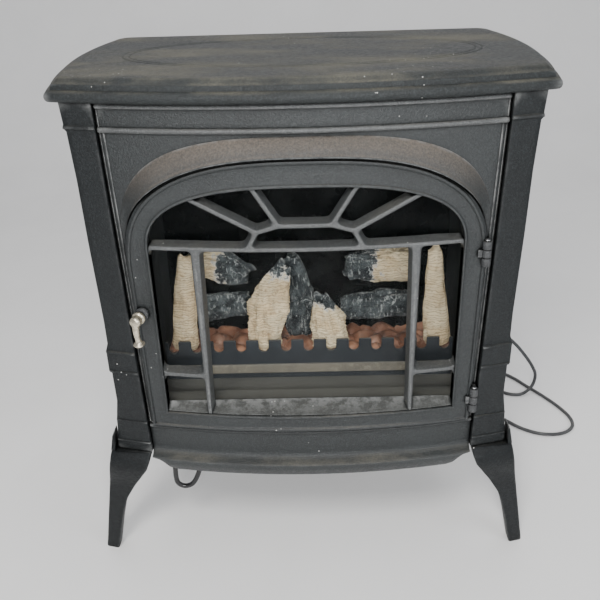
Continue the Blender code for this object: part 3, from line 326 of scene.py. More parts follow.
def cast_iron(name, dust=1.0, dust_colour=(0.105, 0.098, 0.078), base=(0.0082, 0.0100, 0.0103), wear_and_highlight=1.0,
              dust_from=0.45, shine=0.62, even=0.10):
    """Satin black cast iron: sand-cast grain, streaked dust on what faces up, rubbed edges lightened as wear
    and as a painted edge highlight, chips, and painted shade darkening the crevices.
    """
    n = Nodes(name)
    grain = n.noise(900, 3)
    patches = n.noise(9, 5)
    body = n.colours(n.span(patches, 0.35, 0.7), base, tuple(c * 1.5 for c in base))
    body = n.colours(n.span(n.noise(430, 3, 0.7), 0.46, 0.64, 0, 0.8), body, tuple(c * 3.2 for c in base))
    streaks = n.span(n.noise(9, 9, 0.64, stretch=(0.7, 1.7, 1.0)), 0.40, 0.66, even, 1.0)
    speck = n.span(n.noise(380, 5, 0.7), 0.36, 0.66, 0.45, 1.0)
    lying = n.span(n.normal_z(), dust_from, 1.0)
    share = n.maths("MULTIPLY", n.maths("MULTIPLY", lying, streaks), n.maths("MULTIPLY", speck, dust))
    colour = n.colours(share, body, dust_colour)
    # sharp edges turn lighter: partly rubbed wear, partly a painted highlight along the edges
    rub_and_highlight = n.maths("MULTIPLY", n.span(n.edges(), 0.53, 0.64),
                  n.span(n.noise(60, 6, 0.65), 0.40, 0.60, 0.15, 0.9 * wear_and_highlight))
    colour = n.colours(rub_and_highlight, colour, (0.26, 0.265, 0.26))
    chips = n.maths("MULTIPLY", n.span(n.cells(88), 0.105, 0.060), n.span(n.noise(7, 3), 0.605, 0.62))
    colour = n.colours(chips, colour, (0.50, 0.50, 0.48))
    roughness = n.maths("ADD", n.span(n.noise(150, 4), 0.3, 0.7, 0.44, 0.56),
                        n.maths("MULTIPLY", share, 0.30))
    # painted shade: the colour darkens towards near-black in creases and recesses, and the same mask lowers
    # the specular level there
    crevice_shade = n.node("ShaderNodeAmbientOcclusion", samples=6)
    n.put(crevice_shade.inputs["Distance"], 0.007)
    openness = crevice_shade.outputs["AO"]
    colour = n.colours(n.span(openness, 0.45, 0.92, 0.95, 0.0), colour, (0.0015, 0.0016, 0.0016))
    n.put(n.shader.inputs["Specular IOR Level"], n.span(openness, 0.45, 0.92, 0.04, shine))
    rough_cast = n.bump(n.noise(300, 5, 0.7), 0.0022, 0.6)
    normal = n.bump(grain, 0.0004, 0.6, rough_cast)
    return n.finish(colour, roughness, normal)


def sheet_metal(name, colour, roughness=0.55, metallic=0.0, mottle=1.5):
    """Painted sheet: faint orange-peel, light dust where it lies."""
    n = Nodes(name)
    tone = n.colours(n.span(n.noise(14, 6), 0.3, 0.7), colour, tuple(min(1, c * mottle) for c in colour))
    dust = n.maths("MULTIPLY", n.span(n.normal_z(), 0.3, 1.0), n.span(n.noise(60, 6), 0.35, 0.7, 0.2, 0.7))
    tone = n.colours(dust, tone, (0.20, 0.19, 0.165))
    rough = n.span(n.noise(90, 3), 0.3, 0.7, roughness - 0.08, roughness + 0.1)
    return n.finish(tone, rough, n.bump(n.noise(700, 2), 0.0001, 0.5), Metallic=metallic)


def brushed(name, colour, roughness=0.3):
    """Bare metal with fine turning marks."""
    n = Nodes(name)
    lines = n.noise(60, 4, 0.6, stretch=(1, 1, 30))
    tone = n.colours(n.span(n.noise(220, 4), 0.3, 0.75), colour, tuple(c * 0.62 for c in colour))
    rough = n.span(lines, 0.3, 0.7, roughness - 0.07, roughness + 0.14)
    return n.finish(tone, rough, n.bump(lines, 0.0001, 0.5), Metallic=1.0)


def plastic(name, colour, roughness=0.4):
    """Moulded plastic with a spark-eroded grain."""
    n = Nodes(name)
    tone = n.colours(n.span(n.noise(40, 3), 0.3, 0.7), colour, tuple(min(1, c * 1.35) for c in colour))
    rough = n.span(n.noise(300, 2), 0.3, 0.7, roughness - 0.06, roughness + 0.08)
    return n.finish(tone, rough, n.bump(n.cells(1400), 0.00008, 0.5))


IRON = cast_iron("cast_iron")
TOP_IRON = cast_iron("cast_iron_top", dust=1.0, dust_colour=(0.130, 0.122, 0.094), shine=0.40, even=0.05)
# painted highlight: beads and grille bars get a lighter base and stronger edge lightening than the other iron
HIGHLIT_BEAD_IRON = cast_iron("cast_iron_beads_highlit", dust=0.6, wear_and_highlight=1.1, base=(0.026, 0.028, 0.028), shine=1.0)
DOOR_IRON = cast_iron("cast_iron_door", dust=0.8, dust_colour=(0.110, 0.103, 0.086), wear_and_highlight=1.3, dust_from=0.20)
# painted shade: legs and pilasters get a darker base than the rest of the iron, for the fall-off of light at
# the sides and below
SHADED_LEG_IRON = cast_iron("cast_iron_legs", dust=0.5, wear_and_highlight=0.9, base=(0.0045, 0.0055, 0.0060), shine=0.25)
SHADED_POST_IRON = cast_iron("cast_iron_pilasters", dust=0.7, wear_and_highlight=0.9, base=(0.0055, 0.0067, 0.0072), shine=0.32)
# painted sheen: the sill gets a lighter, even base than the door iron, for the light lying on the ledge
LIT_SILL_IRON = cast_iron("cast_iron_sill", dust=0.2, base=(0.022, 0.024, 0.023), even=1.0)
HOOD_IRON = cast_iron("cast_iron_hood", dust=1.1, dust_colour=(0.165, 0.135, 0.108), dust_from=-0.10,
                      even=0.75)


# ---------------------------------------------------------------- top plate
TOP_FRONT = 0.331
TOP_BACK = 0.3185
TOP_BULGE = 0.0205


def top_outline(inset):
    """The top plate from above, this far inside its widest edge, anticlockwise."""
    half = TOP_FRONT - inset
    front = [(x, bow(x) + inset) for x in steps(-half, half, 72)]
    start, end = bow(half) + inset, BACK_Y - inset
    side = []
    for i in range(1, 37):
        t = i / 36 * 0.93
        x = mix(TOP_FRONT, TOP_BACK, t) + TOP_BULGE * 4 * t * (1 - t) - inset
        side.append((x, mix(start, end, t)))
    x, y = side[-1]
    for i in range(1, 9):
        a = i / 8 * math.pi / 2
        side.append((x - 0.020 * (1 - math.cos(a)), y + (end - y) * math.sin(a)))
    back = [(k, end) for k in steps(side[-1][0], 0, 24)[1:]]
    points = front + side + back
    points += [(-k, h) for k, h in reversed(back[:-1])] + [(-k, h) for k, h in reversed(side)]
    return [Vector(p) for p in points]


OVAL = (0.2530, 0.1160, 0.0080)     # half length, half width and the y of its centre


def oval_at(point, grow):
    """The groove's point nearest in direction to a point of the outline."""
    half, wide, middle = OVAL
    angle = math.atan2((point[1] - middle) / wide, point[0] / half)
    return Vector(((half + grow) * math.cos(angle), middle + (wide + grow) * math.sin(angle)))


def build_top(bm):
    nose = TOP_BOTTOM
    profile = [(0.0300, nose + 0.0060), (0.0140, nose + 0.0020), (0.0065, nose), (0.0030, nose + 0.0012),
               (0.0010, nose + 0.0035), (0.0001, nose + 0.0070), (0.0006, nose + 0.0105),
               (0.0026, nose + 0.0135), (0.0056, nose + 0.0150), (0.0078, nose + 0.0156),
               (0.0084, nose + 0.0164), (0.0088, nose + 0.0205), (0.0094, nose + 0.0222),
               (0.0106, nose + 0.0232), (0.0126, nose + 0.0240), (0.0146, nose + 0.0255),
               (0.0166, nose + 0.0278), (0.0186, nose + 0.0292), (0.0212, HEIGHT)]
    rings = [[(p.x, p.y, z) for p in top_outline(inset)] for inset, z in profile]
    edge = top_outline(0.0212)
    for share in (0.25, 0.5, 0.75):
        rings.append([(*(p.lerp(oval_at(p, 0.0110), share)), HEIGHT) for p in edge])
    for grow, drop in ((0.0110, 0), (0.0094, 0.0003), (0.0078, 0.0013), (0.0062, 0.0003), (0.0046, 0),
                       (0.0016, 0), (0.0, 0.0003), (-0.0016, 0.0013), (-0.0032, 0.0003), (-0.0048, 0),
                       (-0.030, 0), (-0.060, 0), (-0.085, 0), (-0.105, 0)):
        rings.append([(*oval_at(p, grow), HEIGHT - drop) for p in edge])
    loft(bm, rings)


piece("top_casting", build_top, TOP_IRON, "stove", ["top_plate"])


# ---------------------------------------------------------------- surround, hood and beads
SURROUND_FACE = 0.0170
SURROUND_BACK = 0.0230


def inner_line(z):
    return mix(0.2539, 0.2677, (z - 0.2687) / (FRIEZE_Z - 0.2687))


def strips(low_x, high_x, points, count=44):
    """Closed rings of (offset, z) points carried across the bow."""
    return [[(x, bow(x) + off, z) for off, z in points] for x in steps(low_x, high_x, count)]


def opening(grow, count):
    """The window outline as stations: up the right side, over the arch, down the left, along the bottom."""
    bottom = WINDOW_BOTTOM - grow
    half = WINDOW_ARCH[0] + grow
    over = arch(WINDOW_ARCH, count, grow)
    up = [(half, z) for z in steps(bottom, over[0][1], 16)[:-1]]
    down = [(-half, z) for z in steps(over[-1][1], bottom, 16)[1:]]
    along = [(x, bottom) for x in steps(-half, half, 40)[1:-1]]
    return up + over + down + along


def build_surround(bm):
    top, bottom = BODY_TOP, 0.2719

    def outward(x, z):
        """The plate's edge in the direction of an opening's point."""
        centre = 0.45
        best = 9.0
        dx, dz = x, z - centre
        if dz > 1e-9:
            best = min(best, (top - centre) / dz)
        if dz < -1e-9:
            best = min(best, (bottom - centre) / dz)
        for _ in range(3):
            if abs(dx) > 1e-9:
                edge = inner_line(centre + dz * best)
                best = min(best, edge / abs(dx))
        return dx * best, centre + dz * best

    rings = []
    for x, z in opening(0.0095, 56):
        xo, zo = outward(x, z)
        front = [(mix(x, xo, t), mix(z, zo, t)) for t in steps(0, 1, 10)]
        ring = [(a, bow(a) + SURROUND_FACE, h) for a, h in front]
        ring += [(a, bow(a) + SURROUND_BACK, h) for a, h in reversed(front)]
        rings.append(ring)
    loft(bm, rings, loop=True)


def lip_offset(z):
    return mix(SURROUND_FACE - 0.0004, 0.0, smooth((z - 0.600) / 0.072))


def build_hood(bm):
    """The hood over the door: a swept, rounded eyebrow that dies into the surround."""
    count = 120
    outer, lip = arch(HOOD_ARCH, count), arch(LIP_ARCH, count)
    rings = []
    for (xo, zo), (xl, zl) in list(zip(outer, lip))[6:-6]:
        off = lip_offset(zl)
        stand = 1 - off / SURROUND_FACE
        edge = 0.0024 * stand + 0.0002
        ring = [(xo, SURROUND_FACE + 0.001, zo)]
        for t in steps(0, 1, 8)[1:]:
            ease = 1 - (1 - t) ** 1.5
            ring.append((mix(xo, xl, t), mix(SURROUND_FACE - 0.0005, off + 0.0012 * stand, ease),
                         mix(zo, zl + edge, t)))
        ring += [(xl, off + 0.0003 * stand, zl + edge * 0.6), (xl, off, zl + edge * 0.2),
                 (xl * 0.9995, off + 0.0004, zl - edge * 0.4),
                 (xl, SURROUND_FACE + 0.001, zl - edge * 0.3)]
        rings.append([(x, bow(x) + y, z) for x, y, z in ring])
    loft(bm, rings)


def build_frieze(bm):
    half = 0.2672
    loft(bm, strips(-half, half, [(0.018, 0.7350), (0.0152, 0.7352), (0.0134, 0.7362), (0.0126, 0.7380),
                                  (0.0126, 0.7396), (0.0134, 0.7414), (0.0152, 0.7424), (0.018, 0.7426)]))
    loft(bm, strips(-half, half, [(0.018, 0.7660), (0.0150, 0.7664), (0.0128, 0.7680), (0.0126, 0.7700),
                                  (0.0134, 0.7716), (0.0150, 0.7745), (0.018, 0.7745)]))


def build_edge_beads(bm):
    """The thin upright beads along the pilasters."""
    for side in (-1, 1):
        for inset, low, high in ((0.0022, 0.2760, 0.7740), (0.0075, 0.2840, 0.7345)):
            rings = []
            for z in steps(low, high, 24):
                x = side * (inner_line(z) - inset)
                ring = []
                for across, out in ((-0.0013, 0.0180), (-0.0011, 0.0162), (0.0, 0.0154), (0.0011, 0.0162),
                                    (0.0013, 0.0180)):
                    ring.append((x + across, bow(x) + out, z))
                rings.append(ring)
            loft(bm, rings)


piece("surround_plate", build_surround, IRON, "stove", ["front_surround"])
piece("surround_hood", build_hood, HOOD_IRON, "stove")
piece("surround_frieze_beads", build_frieze, HIGHLIT_BEAD_IRON, "stove")
piece("surround_edge_beads", build_edge_beads, HIGHLIT_BEAD_IRON, "stove")


# ---------------------------------------------------------------- apron
def build_apron(bm):
    rings = []
    for x in steps(-0.2527, 0.2527, 96):
        sweep = ramp(abs(x), [(0.2160, 0.0), (0.2270, 0.0025), (0.2370, 0.0114), (0.2440, 0.0200),
                              (0.2527, 0.0235)])
        low = 0.1912 + sweep
        lip = max(0.2150, low + 0.0015)
        ring = [(0.0165, 0.2714), (0.0150, 0.2712), (0.0136, 0.2702), (0.0130, 0.2688), (0.0132, 0.2672),
                (0.0142, 0.2660), (0.0160, 0.2654), (0.0168, 0.2646), (0.0168, 0.2300), (0.0160, 0.2245),
                (0.0135, 0.2215), (0.0090, 0.2190), (0.0040, 0.2172), (0.0012, lip + 0.0008),
                (0.0, lip - 0.0004), (0.0001, mix(lip, low, 0.28)), (0.0012, mix(lip, low, 0.45)),
                (0.0040, mix(lip, low, 0.70)), (0.0066, mix(lip, low, 0.92)), (0.0085, low), (0.0228, low),
                (0.0228, 0.2714)]
        rings.append([(x, bow(x) + off, z) for off, z in ring])
    loft(bm, rings)


piece("apron_casting", build_apron, IRON, "stove", ["hearth_apron"])


# ---------------------------------------------------------------- pilasters
PILASTER_OUTER = [(BODY_BOTTOM, 0.3132), (0.2540, 0.3085), (0.2770, 0.3068), (0.3130, 0.3014),
                  (0.3640, 0.3020), (0.3690, 0.3055), (0.4040, 0.3055), (0.4160, 0.3017), (0.4550, 0.3016),
                  (0.5800, 0.3055), (0.6700, 0.3070), (0.7370, 0.3104), (0.7410, 0.3145), (0.7460, 0.3132),
                  (BODY_TOP, 0.3155)]
PILASTER_PROUD = [(0.2360, 0.0), (0.2368, 0.0013), (0.2392, 0.0013), (0.2400, 0.0), (0.2750, 0.0),
                  (0.2758, 0.0013), (0.2782, 0.0013), (0.2790, 0.0), (0.3650, 0.0), (0.3668, 0.0024),
                  (0.3700, 0.0024), (0.3706, 0.0014), (0.4000, 0.0014), (0.4006, 0.0024), (0.4032, 0.0024),
                  (0.4052, 0.0), (0.7394, 0.0), (0.7412, 0.0019), (0.7440, 0.0019), (0.7462, 0.0)]


def build_pilaster(side):
    def run(bm):
        marks = [z for z, _ in PILASTER_OUTER + PILASTER_PROUD]
        heights = sorted(set(marks + steps(BODY_BOTTOM, BODY_TOP, 40)))
        rings = []
        for z in heights:
            a = inner_line(z) + 0.0012
            b = ramp(z, PILASTER_OUTER) - 0.0003
            face = 0.0076 - ramp(z, PILASTER_PROUD)
            ring = [(a, 0.0262), (a, face + 0.0030), (a + 0.0003, face + 0.0012), (a + 0.0014, face + 0.0001)]
            ring += [(mix(a, b, t), face) for t in (0.2, 0.4, 0.6, 0.8)]
            ring += [(b - 0.0014, face + 0.0001), (b - 0.0003, face + 0.0012), (b, face + 0.0030),
                     (b, 0.0262)]
            rings.append([(side * x, bow(x) + off, z) for x, off in ring])
        loft(bm, rings)
    return run


for side, word in ((-1, "left"), (1, "right")):
    piece(word + "_pilaster_casting", build_pilaster(side), SHADED_POST_IRON, "stove", [word + "_pilaster"])


# ---------------------------------------------------------------- legs
LEG_OUTER = [(0.0, 0.3630), (0.0250, 0.3584), (0.0650, 0.3514), (0.1300, 0.3397), (0.1650, 0.3330),
             (0.2045, 0.3255), (0.2270, 0.3209), (0.2460, 0.3172), (0.2486, 0.3162)]
LEG_INNER = [(0.0, 0.3398), (0.0250, 0.3345), (0.0621, 0.3262), (0.0901, 0.3190), (0.1179, 0.3090),
             (0.1464, 0.2931), (0.1660, 0.2810), (0.1793, 0.2731), (0.1930, 0.2640), (0.2072, 0.2585),
             (0.2205, 0.2561), (0.2206, 0.3146), (0.2460, 0.3146), (0.2486, 0.3150)]


def leg_section(z):
    thick = mix(0.024, 0.026, min(1.0, z / 0.22))
    knee = 0.0098 * math.exp(-((z - 0.190) / 0.030) ** 2)
    return knee, thick


def build_leg(front, side):
    def run(bm):
        top = 0.2486 if front else 0.1978
        heights = sorted(set([z for z, _ in LEG_OUTER + LEG_INNER if z <= top] + steps(0.0, top, 44)))
        rings = []
        for z in heights:
            a, b = ramp(z, LEG_INNER), ramp(z, LEG_OUTER)
            knee, thick = leg_section(z)
            soft = min(0.0034, (b - a) * 0.22)
            curve = smooth((z - 0.2050) / 0.0156) * 0.006 * (1 if z < 0.2206 else 0)
            low = -knee + curve
            ring = [(a, thick), (a, low + soft), (a + soft * 0.3, low + soft * 0.35), (a + soft, low)]
            ring += [(mix(a + soft, b - soft, t), low - 0.0) for t in (0.33, 0.67)]
            ring += [(b - soft, low), (b - soft * 0.3, low + soft * 0.35), (b, low + soft), (b, thick)]
            points = []
            for x, y in ring:
                y += (x - 0.30) * 0.25 - 0.013
                if front:
                    points.append((side * x, depth(y + 0.0062), z))
                else:
                    points.append((side * (x - 0.0200), depth(0.3405 - y * 0.9), z))
            rings.append(points)
        loft(bm, rings)
    return run


for front, row in ((True, "front"), (False, "rear")):
    for side, word in ((-1, "left"), (1, "right")):
        piece(f"{row}_{word}_leg_casting", build_leg(front, side), SHADED_LEG_IRON, "stove", [f"{row}_{word}_leg"])


# ---------------------------------------------------------------- door
COLLAR_Y = depth(-0.0018)


def door_edge(grow, count):
    """The door's outline as stations that match opening()'s."""
    bottom = DOOR_BOTTOM - grow
    half = DOOR_HALF_BOTTOM + grow
    over = arch(DOOR_ARCH, count, grow)
    up = [(half + (over[0][0] - half) * t, mix(bottom, over[0][1], t)) for t in steps(0, 1, 16)[:-1]]
    down = [(-x, z) for x, z in reversed(up)]
    along = [(x, bottom) for x in steps(-half, half, 40)[1:-1]]
    return up + over + down + along


def build_door(bm):
    count = 96
    window, edge = opening(0.0, count), door_edge(0.0, count)
    rings = []
    for (xi, zi), (xo, zo) in zip(window, edge):
        wide = math.hypot(xo - xi, zo - zi)
        ux, uz = (xo - xi) / wide, (zo - zi) / wide
        profile = [(0.0060, 0.0262), (0.0003, 0.0262), (0.0003, 0.0086), (0.0006, 0.0068), (0.0016, 0.0058),
                   (0.0034, 0.0056), (0.0048, 0.0062), (0.0055, 0.0074), (0.0066, 0.0076)]
        out = [(0.0100, 0.0076), (0.0086, 0.0070), (0.0078, 0.0056), (0.0066, 0.0047), (0.0050, 0.0045),
               (0.0036, 0.0048), (0.0026, 0.0060), (0.0022, 0.0074), (0.0010, 0.0078), (0.0002, 0.0084),
               (0.0001, 0.0100), (0.0001, 0.0160)]
        ring = [(xi + ux * d, zi + uz * d, y) for d, y in profile]
        ring += [(mix(xi, xo, t), mix(zi, zo, t), 0.0076) for t in (0.35, 0.5)]
        ring += [(xo - ux * d, zo - uz * d, y) for d, y in out]
        ring += [(xi + ux * 0.0060, zi + uz * 0.0060, 0.0160)]
        rings.append([(x, COLLAR_Y if y > 0.025 else bow(x) + y, z) for x, z, y in ring])
    loft(bm, rings, loop=True)


GRILLE_Z = 0.5775
MULLION_X = 0.1520
MULLION_WIDEN = 0.0030
CROSSBAR_Z = 0.3715
HUB = (0.0800, GRILLE_Z)
SHOULDER = (0.0660, 0.6030)
CROWN = (0.0360, 0.6120)
SPOKE_LOW = (0.1530, 0.6490)
SPOKE_HIGH = (0.0690, 0.6645)


def lights():
    """Each opening of the grille as (x, z, is the edge that starts here a bar, is the corner round)."""
    edge = WINDOW_ARCH[0]
    low = WINDOW_BOTTOM
    curve = arch(WINDOW_ARCH, 160)
    spring = [(x, z) for x, z in curve if z > GRILLE_Z and x > SPOKE_LOW[0] + 0.006][::5]
    between = [(x, z) for x, z in curve if SPOKE_HIGH[0] + 0.001 < x < SPOKE_LOW[0] + 0.001][::5]
    over = [(x, z) for x, z in curve if abs(x) < SPOKE_HIGH[0] - 0.001 and z > 0.6][::5]
    right = [
        [(MULLION_X, low, 0, 0), (edge, low, 0, 0), (edge, CROSSBAR_Z, 1, 1), (MULLION_X, CROSSBAR_Z, 1, 1)],
        [(MULLION_X, CROSSBAR_Z, 1, 1), (edge, CROSSBAR_Z, 0, 1), (edge, GRILLE_Z, 1, 1),
         (MULLION_X, GRILLE_Z, 1, 1)],
        [(*HUB, 1, 1), (edge, GRILLE_Z, 0, 1), *[(x, z, 0, 0) for x, z in spring], (*SPOKE_LOW, 1, 1),
         (*SHOULDER, 1, 1)],
        [(*SHOULDER, 1, 1), (*SPOKE_LOW, 0, 1), *[(x, z, 0, 0) for x, z in between], (*SPOKE_HIGH, 1, 1),
         (*CROWN, 1, 1)]]
    middle = [
        [(-MULLION_X, low, 0, 0), (MULLION_X, low, 1, 0), (MULLION_X, GRILLE_Z, 1, 1),
         (-MULLION_X, GRILLE_Z, 1, 1)],
        [(-HUB[0], HUB[1], 1, 1), (*HUB, 1, 1), (*SHOULDER, 1, 1), (*CROWN, 1, 1),
         (-CROWN[0], CROWN[1], 1, 1), (-SHOULDER[0], SHOULDER[1], 1, 1)],
        [(-CROWN[0], CROWN[1], 1, 1), (*CROWN, 1, 1), (*SPOKE_HIGH, 0, 1), *[(x, z, 0, 0) for x, z in over],
         (-SPOKE_HIGH[0], SPOKE_HIGH[1], 1, 1)]]
    return right, middle


def inward(cell, inset, radius, per_corner=5):
    """The cell with its bar edges moved in, its round corners filleted."""
    count = len(cell)
    lines = []
    for i, (x, z, is_bar, _) in enumerate(cell):
        nx, nz = cell[(i + 1) % count][0] - x, cell[(i + 1) % count][1] - z
        along = Vector((nx, nz)).normalized()
        lines.append((Vector((x, z)) + Vector((-along.y, along.x)) * inset * is_bar, along))
    corners = []
    for i in range(count):
        (a, da), (b, db) = lines[i - 1], lines[i]
        cross = da.x * db.y - da.y * db.x
        if abs(cross) < 0.02:
            corners.append(b)
        else:
            t = ((b - a).x * db.y - (b - a).y * db.x) / cross
            corners.append(a + da * t)
    outline = []
    for i, corner in enumerate(corners):
        before, after = corners[i - 1], corners[(i + 1) % count]
        if cell[i][3] and radius > 0:
            back = (before - corner).normalized()
            ahead = (after - corner).normalized()
            opened = back.angle(ahead)
            cut = min(radius / math.tan(opened / 2), 0.42 * (before - corner).length,
                      0.42 * (after - corner).length)
            p, q = corner + back * cut, corner + ahead * cut
            outline += [(p * (1 - t) ** 2 + corner * 2 * t * (1 - t) + q * t ** 2)
                        for t in steps(0, 1, per_corner)]
        else:
            outline += [corner] * (per_corner + 1 if cell[i][3] else 1)
    dense = []
    for a, b in zip(outline, outline[1:] + outline[:1]):
        dense += [a.lerp(b, t) for t in (0.0, 0.25, 0.5, 0.75)]
    return dense


def build_bars(bm):
    """The grille, one light at a time: half bars with a narrow rounded front and wide sloping sides."""
    section = [(0.0, 0.0088, 0.0), (0.0014, 0.0088, 0.0050), (0.0024, 0.0091, 0.0060),
               (0.0030, 0.0099, 0.0068), (0.0034, 0.0112, 0.0074), (0.0048, 0.0185, 0.0088),
               (0.0062, 0.0262, 0.0100), (0.0063, 0.0273, 0.0102), (0.0, 0.0273, 0.0)]
    right, middle = lights()
    # a mirrored light runs backwards, so each corner takes the flag of the edge before it
    left = [[(-x, z, cell[i - 1][2], is_round) for i, (x, z, _, is_round) in enumerate(cell)][::-1]
            for cell in right]
    for cell in middle + right + left:
        rings = []
        for inset, off, radius in section:
            ring = []
            for x, z in inward(cell, inset, radius):
                aside = abs(x) - MULLION_X
                if 0.0004 < abs(aside) < 0.0120 and z < GRILLE_Z:
                    share = (z - WINDOW_BOTTOM) / (GRILLE_Z - WINDOW_BOTTOM)
                    x += math.copysign(MULLION_WIDEN * share * min(1, inset / 0.0020), x * aside)
                ring.append((x, min(bow(x) + off, COLLAR_Y - 0.0004), z))
            rings.append(ring)
        loft(bm, rings, loop=True)


def build_sill(bm):
    """The window's lower ledge, sloping up to the glass."""
    rings = []
    for x in steps(-0.2174, 0.2174, 60):
        front, back = bow(x) + 0.0094, COLLAR_Y - 0.0006
        rings.append([(x, front, 0.3036), (x, front, 0.3052), (x, front + 0.0012, 0.3060), (x, back, 0.3132),
                      (x, back, 0.3036)])
    loft(bm, rings)


piece("door_casting", build_door, DOOR_IRON, "door", ["door_frame"])
piece("door_grille", build_bars, HIGHLIT_BEAD_IRON, "door")
piece("door_sill", build_sill, LIT_SILL_IRON, "door")

# ---------------------------------------------------------------- hinges
HINGE_X = 0.2500
HINGE_DEPTH = -0.0165
HINGES = {"upper": (0.539, 0.577), "lower": (0.293, 0.335)}
KNUCKLE = 0.0065


def knuckle(bm, low, high):
    """A barrel with rounded ends."""
    turned(bm, [(0, KNUCKLE - 0.0012), (0.0005, KNUCKLE - 0.0003), (0.0012, KNUCKLE),
                (high - low - 0.0012, KNUCKLE), (high - low - 0.0005, KNUCKLE - 0.0003),
                (high - low, KNUCKLE - 0.0012)], (HINGE_X, depth(HINGE_DEPTH), low), (0, 0, 1), 32)


def arm(bm, x0, x1, y0, y1, z0, z1):
    loft(bm, [[(x0, depth(y0), z), (x1, depth(y0), z), (x1, depth(y1), z), (x0, depth(y1), z)]
              for z in (z0, z1)])


def build_fixed_hinges(bm):
    for low, high in HINGES.values():
        third = (high - low) / 3
        for z in (low, high - third):
            knuckle(bm, z, z + third)
            arm(bm, HINGE_X - 0.0028, HINGE_X + 0.0044, HINGE_DEPTH, HINGE_DEPTH + 0.0164, z + 0.0006,
                z + third - 0.0006)


def build_door_hinges(bm):
    for low, high in HINGES.values():
        third = (high - low) / 3
        knuckle(bm, low + third + 0.0004, high - third - 0.0004)
        arm(bm, HINGE_X - 0.0120, HINGE_X - 0.0001, HINGE_DEPTH - 0.0019, HINGE_DEPTH + 0.0089,
            low + third + 0.0009, high - third - 0.0009)


HINGE_IRON = cast_iron("cast_iron_hinges", dust=0.5, wear_and_highlight=1.6, base=(0.016, 0.017, 0.018))
STEEL = brushed("worn_steel", (0.42, 0.42, 0.42))
piece("surround_hinge_knuckles", build_fixed_hinges, HINGE_IRON, "stove", bevel=0.0006)
piece("door_hinge_knuckles", build_door_hinges, HINGE_IRON, "door", bevel=0.0006)
for name, (low, high) in HINGES.items():
    piece(name + "_pin", lambda bm: turned(
        bm, [(0, 0.0021), (0.0004, 0.0025), (high - low + 0.0018, 0.0025), (high - low + 0.0020, 0.0036),
             (high - low + 0.0026, 0.0040), (high - low + 0.0034, 0.0037), (high - low + 0.0042, 0.0024),
             (high - low + 0.0045, 0.0008)],
        (HINGE_X, depth(HINGE_DEPTH), low - 0.0015), (0, 0, 1), 32), STEEL, "stove",
        [name + "_hinge_pin"])

# ---------------------------------------------------------------- door glass and gasket
GLASS_Y = 0.0015


def glass_material():
    n = Nodes("door_glass")
    smear = n.noise(18, 6, 0.6)
    streak = n.noise(30, 4, 0.6, stretch=(1, 1, 0.15))
    rough = n.span(smear, 0.35, 0.7, 0.03, 0.16)
    film = n.maths("MULTIPLY", n.span(streak, 0.5, 0.75, 0.0, 1.0), 0.03)
    n.put(n.shader.inputs["Alpha"], n.maths("ADD", film, n.span(smear, 0.4, 0.8, 0.05, 0.09)))
    colour = n.colours(n.span(smear, 0.4, 0.7), (0.018, 0.022, 0.022), (0.040, 0.046, 0.046))
    return n.finish(colour, rough, n.bump(n.noise(5, 2), 0.0003, 0.2))


def build_glass(bm):
    outline = window_loop(0.0048)
    prism(bm, outline, depth(GLASS_Y + 0.0001), depth(GLASS_Y + 0.0034))


def window_loop(grow, count=64):
    half, bottom = WINDOW_ARCH[0] + grow, WINDOW_BOTTOM - grow
    return [(half, bottom), *arch(WINDOW_ARCH, count, grow), (-half, bottom)]


def build_gasket(bm):
    """A flat woven tape between the door and the glass."""
    rings = []
    for (xi, zi), (xo, zo) in zip(opening(0.0012, 96), opening(0.0053, 96)):
        ring = [(xi, -0.0016, zi), (xi, -0.0024, zi), (mix(xi, xo, 0.2), -0.0028, mix(zi, zo, 0.2)),
                (mix(xi, xo, 0.8), -0.0028, mix(zi, zo, 0.8)), (xo, -0.0024, zo), (xo, -0.0008, zo),
                (mix(xi, xo, 0.8), -0.0005, mix(zi, zo, 0.8)), (mix(xi, xo, 0.2), -0.0005, mix(zi, zo, 0.2))]
        rings.append([(x, depth(GLASS_Y + y), z) for x, y, z in ring])
    loft(bm, rings, loop=True)


def rope_material():
    n = Nodes("gasket_rope")
    weave = n.cells(700, stretch=(1, 1, 1))
    tone = n.colours(n.span(weave, 0.1, 0.6), (0.20, 0.19, 0.165), (0.52, 0.50, 0.44))
    return n.finish(tone, 0.9, n.bump(weave, 0.0003, 0.7))


piece("door_glass_pane", build_glass, glass_material(), "door", ["door_glass"], 0.0004)
piece("door_gasket", build_gasket, rope_material(), "door", ["glass_gasket"])

# ---------------------------------------------------------------- handle
HANDLE_X = -0.2375
HANDLE_Z = 0.4745
SLOPE = (strip_bow(HANDLE_X + 0.001) - strip_bow(HANDLE_X - 0.001)) / 0.002
OUTWARD = Vector((SLOPE, -1, 0)).normalized()
ACROSS = Vector((1, SLOPE, 0)).normalized()
HANDLE_AT = Vector((HANDLE_X, strip_bow(HANDLE_X) + 0.0075, HANDLE_Z))


def at_handle(across, out, up):
    return HANDLE_AT + ACROSS * across + OUTWARD * out + Vector((0, 0, up))


def brass_material():
    n = Nodes("worn_brass")
    tarnish = n.span(n.noise(160, 6, 0.65), 0.38, 0.66)
    tone = n.colours(tarnish, (0.66, 0.60, 0.47), (0.40, 0.36, 0.28))
    tone = n.colours(n.span(n.edges(), 0.40, 0.48), (0.10, 0.095, 0.085), tone)
    rough = n.span(n.noise(240, 4), 0.3, 0.7, 0.22, 0.42)
    return n.finish(tone, rough, n.bump(n.noise(500, 3), 0.0001, 0.4), Metallic=0.85)


BRASS = brass_material()


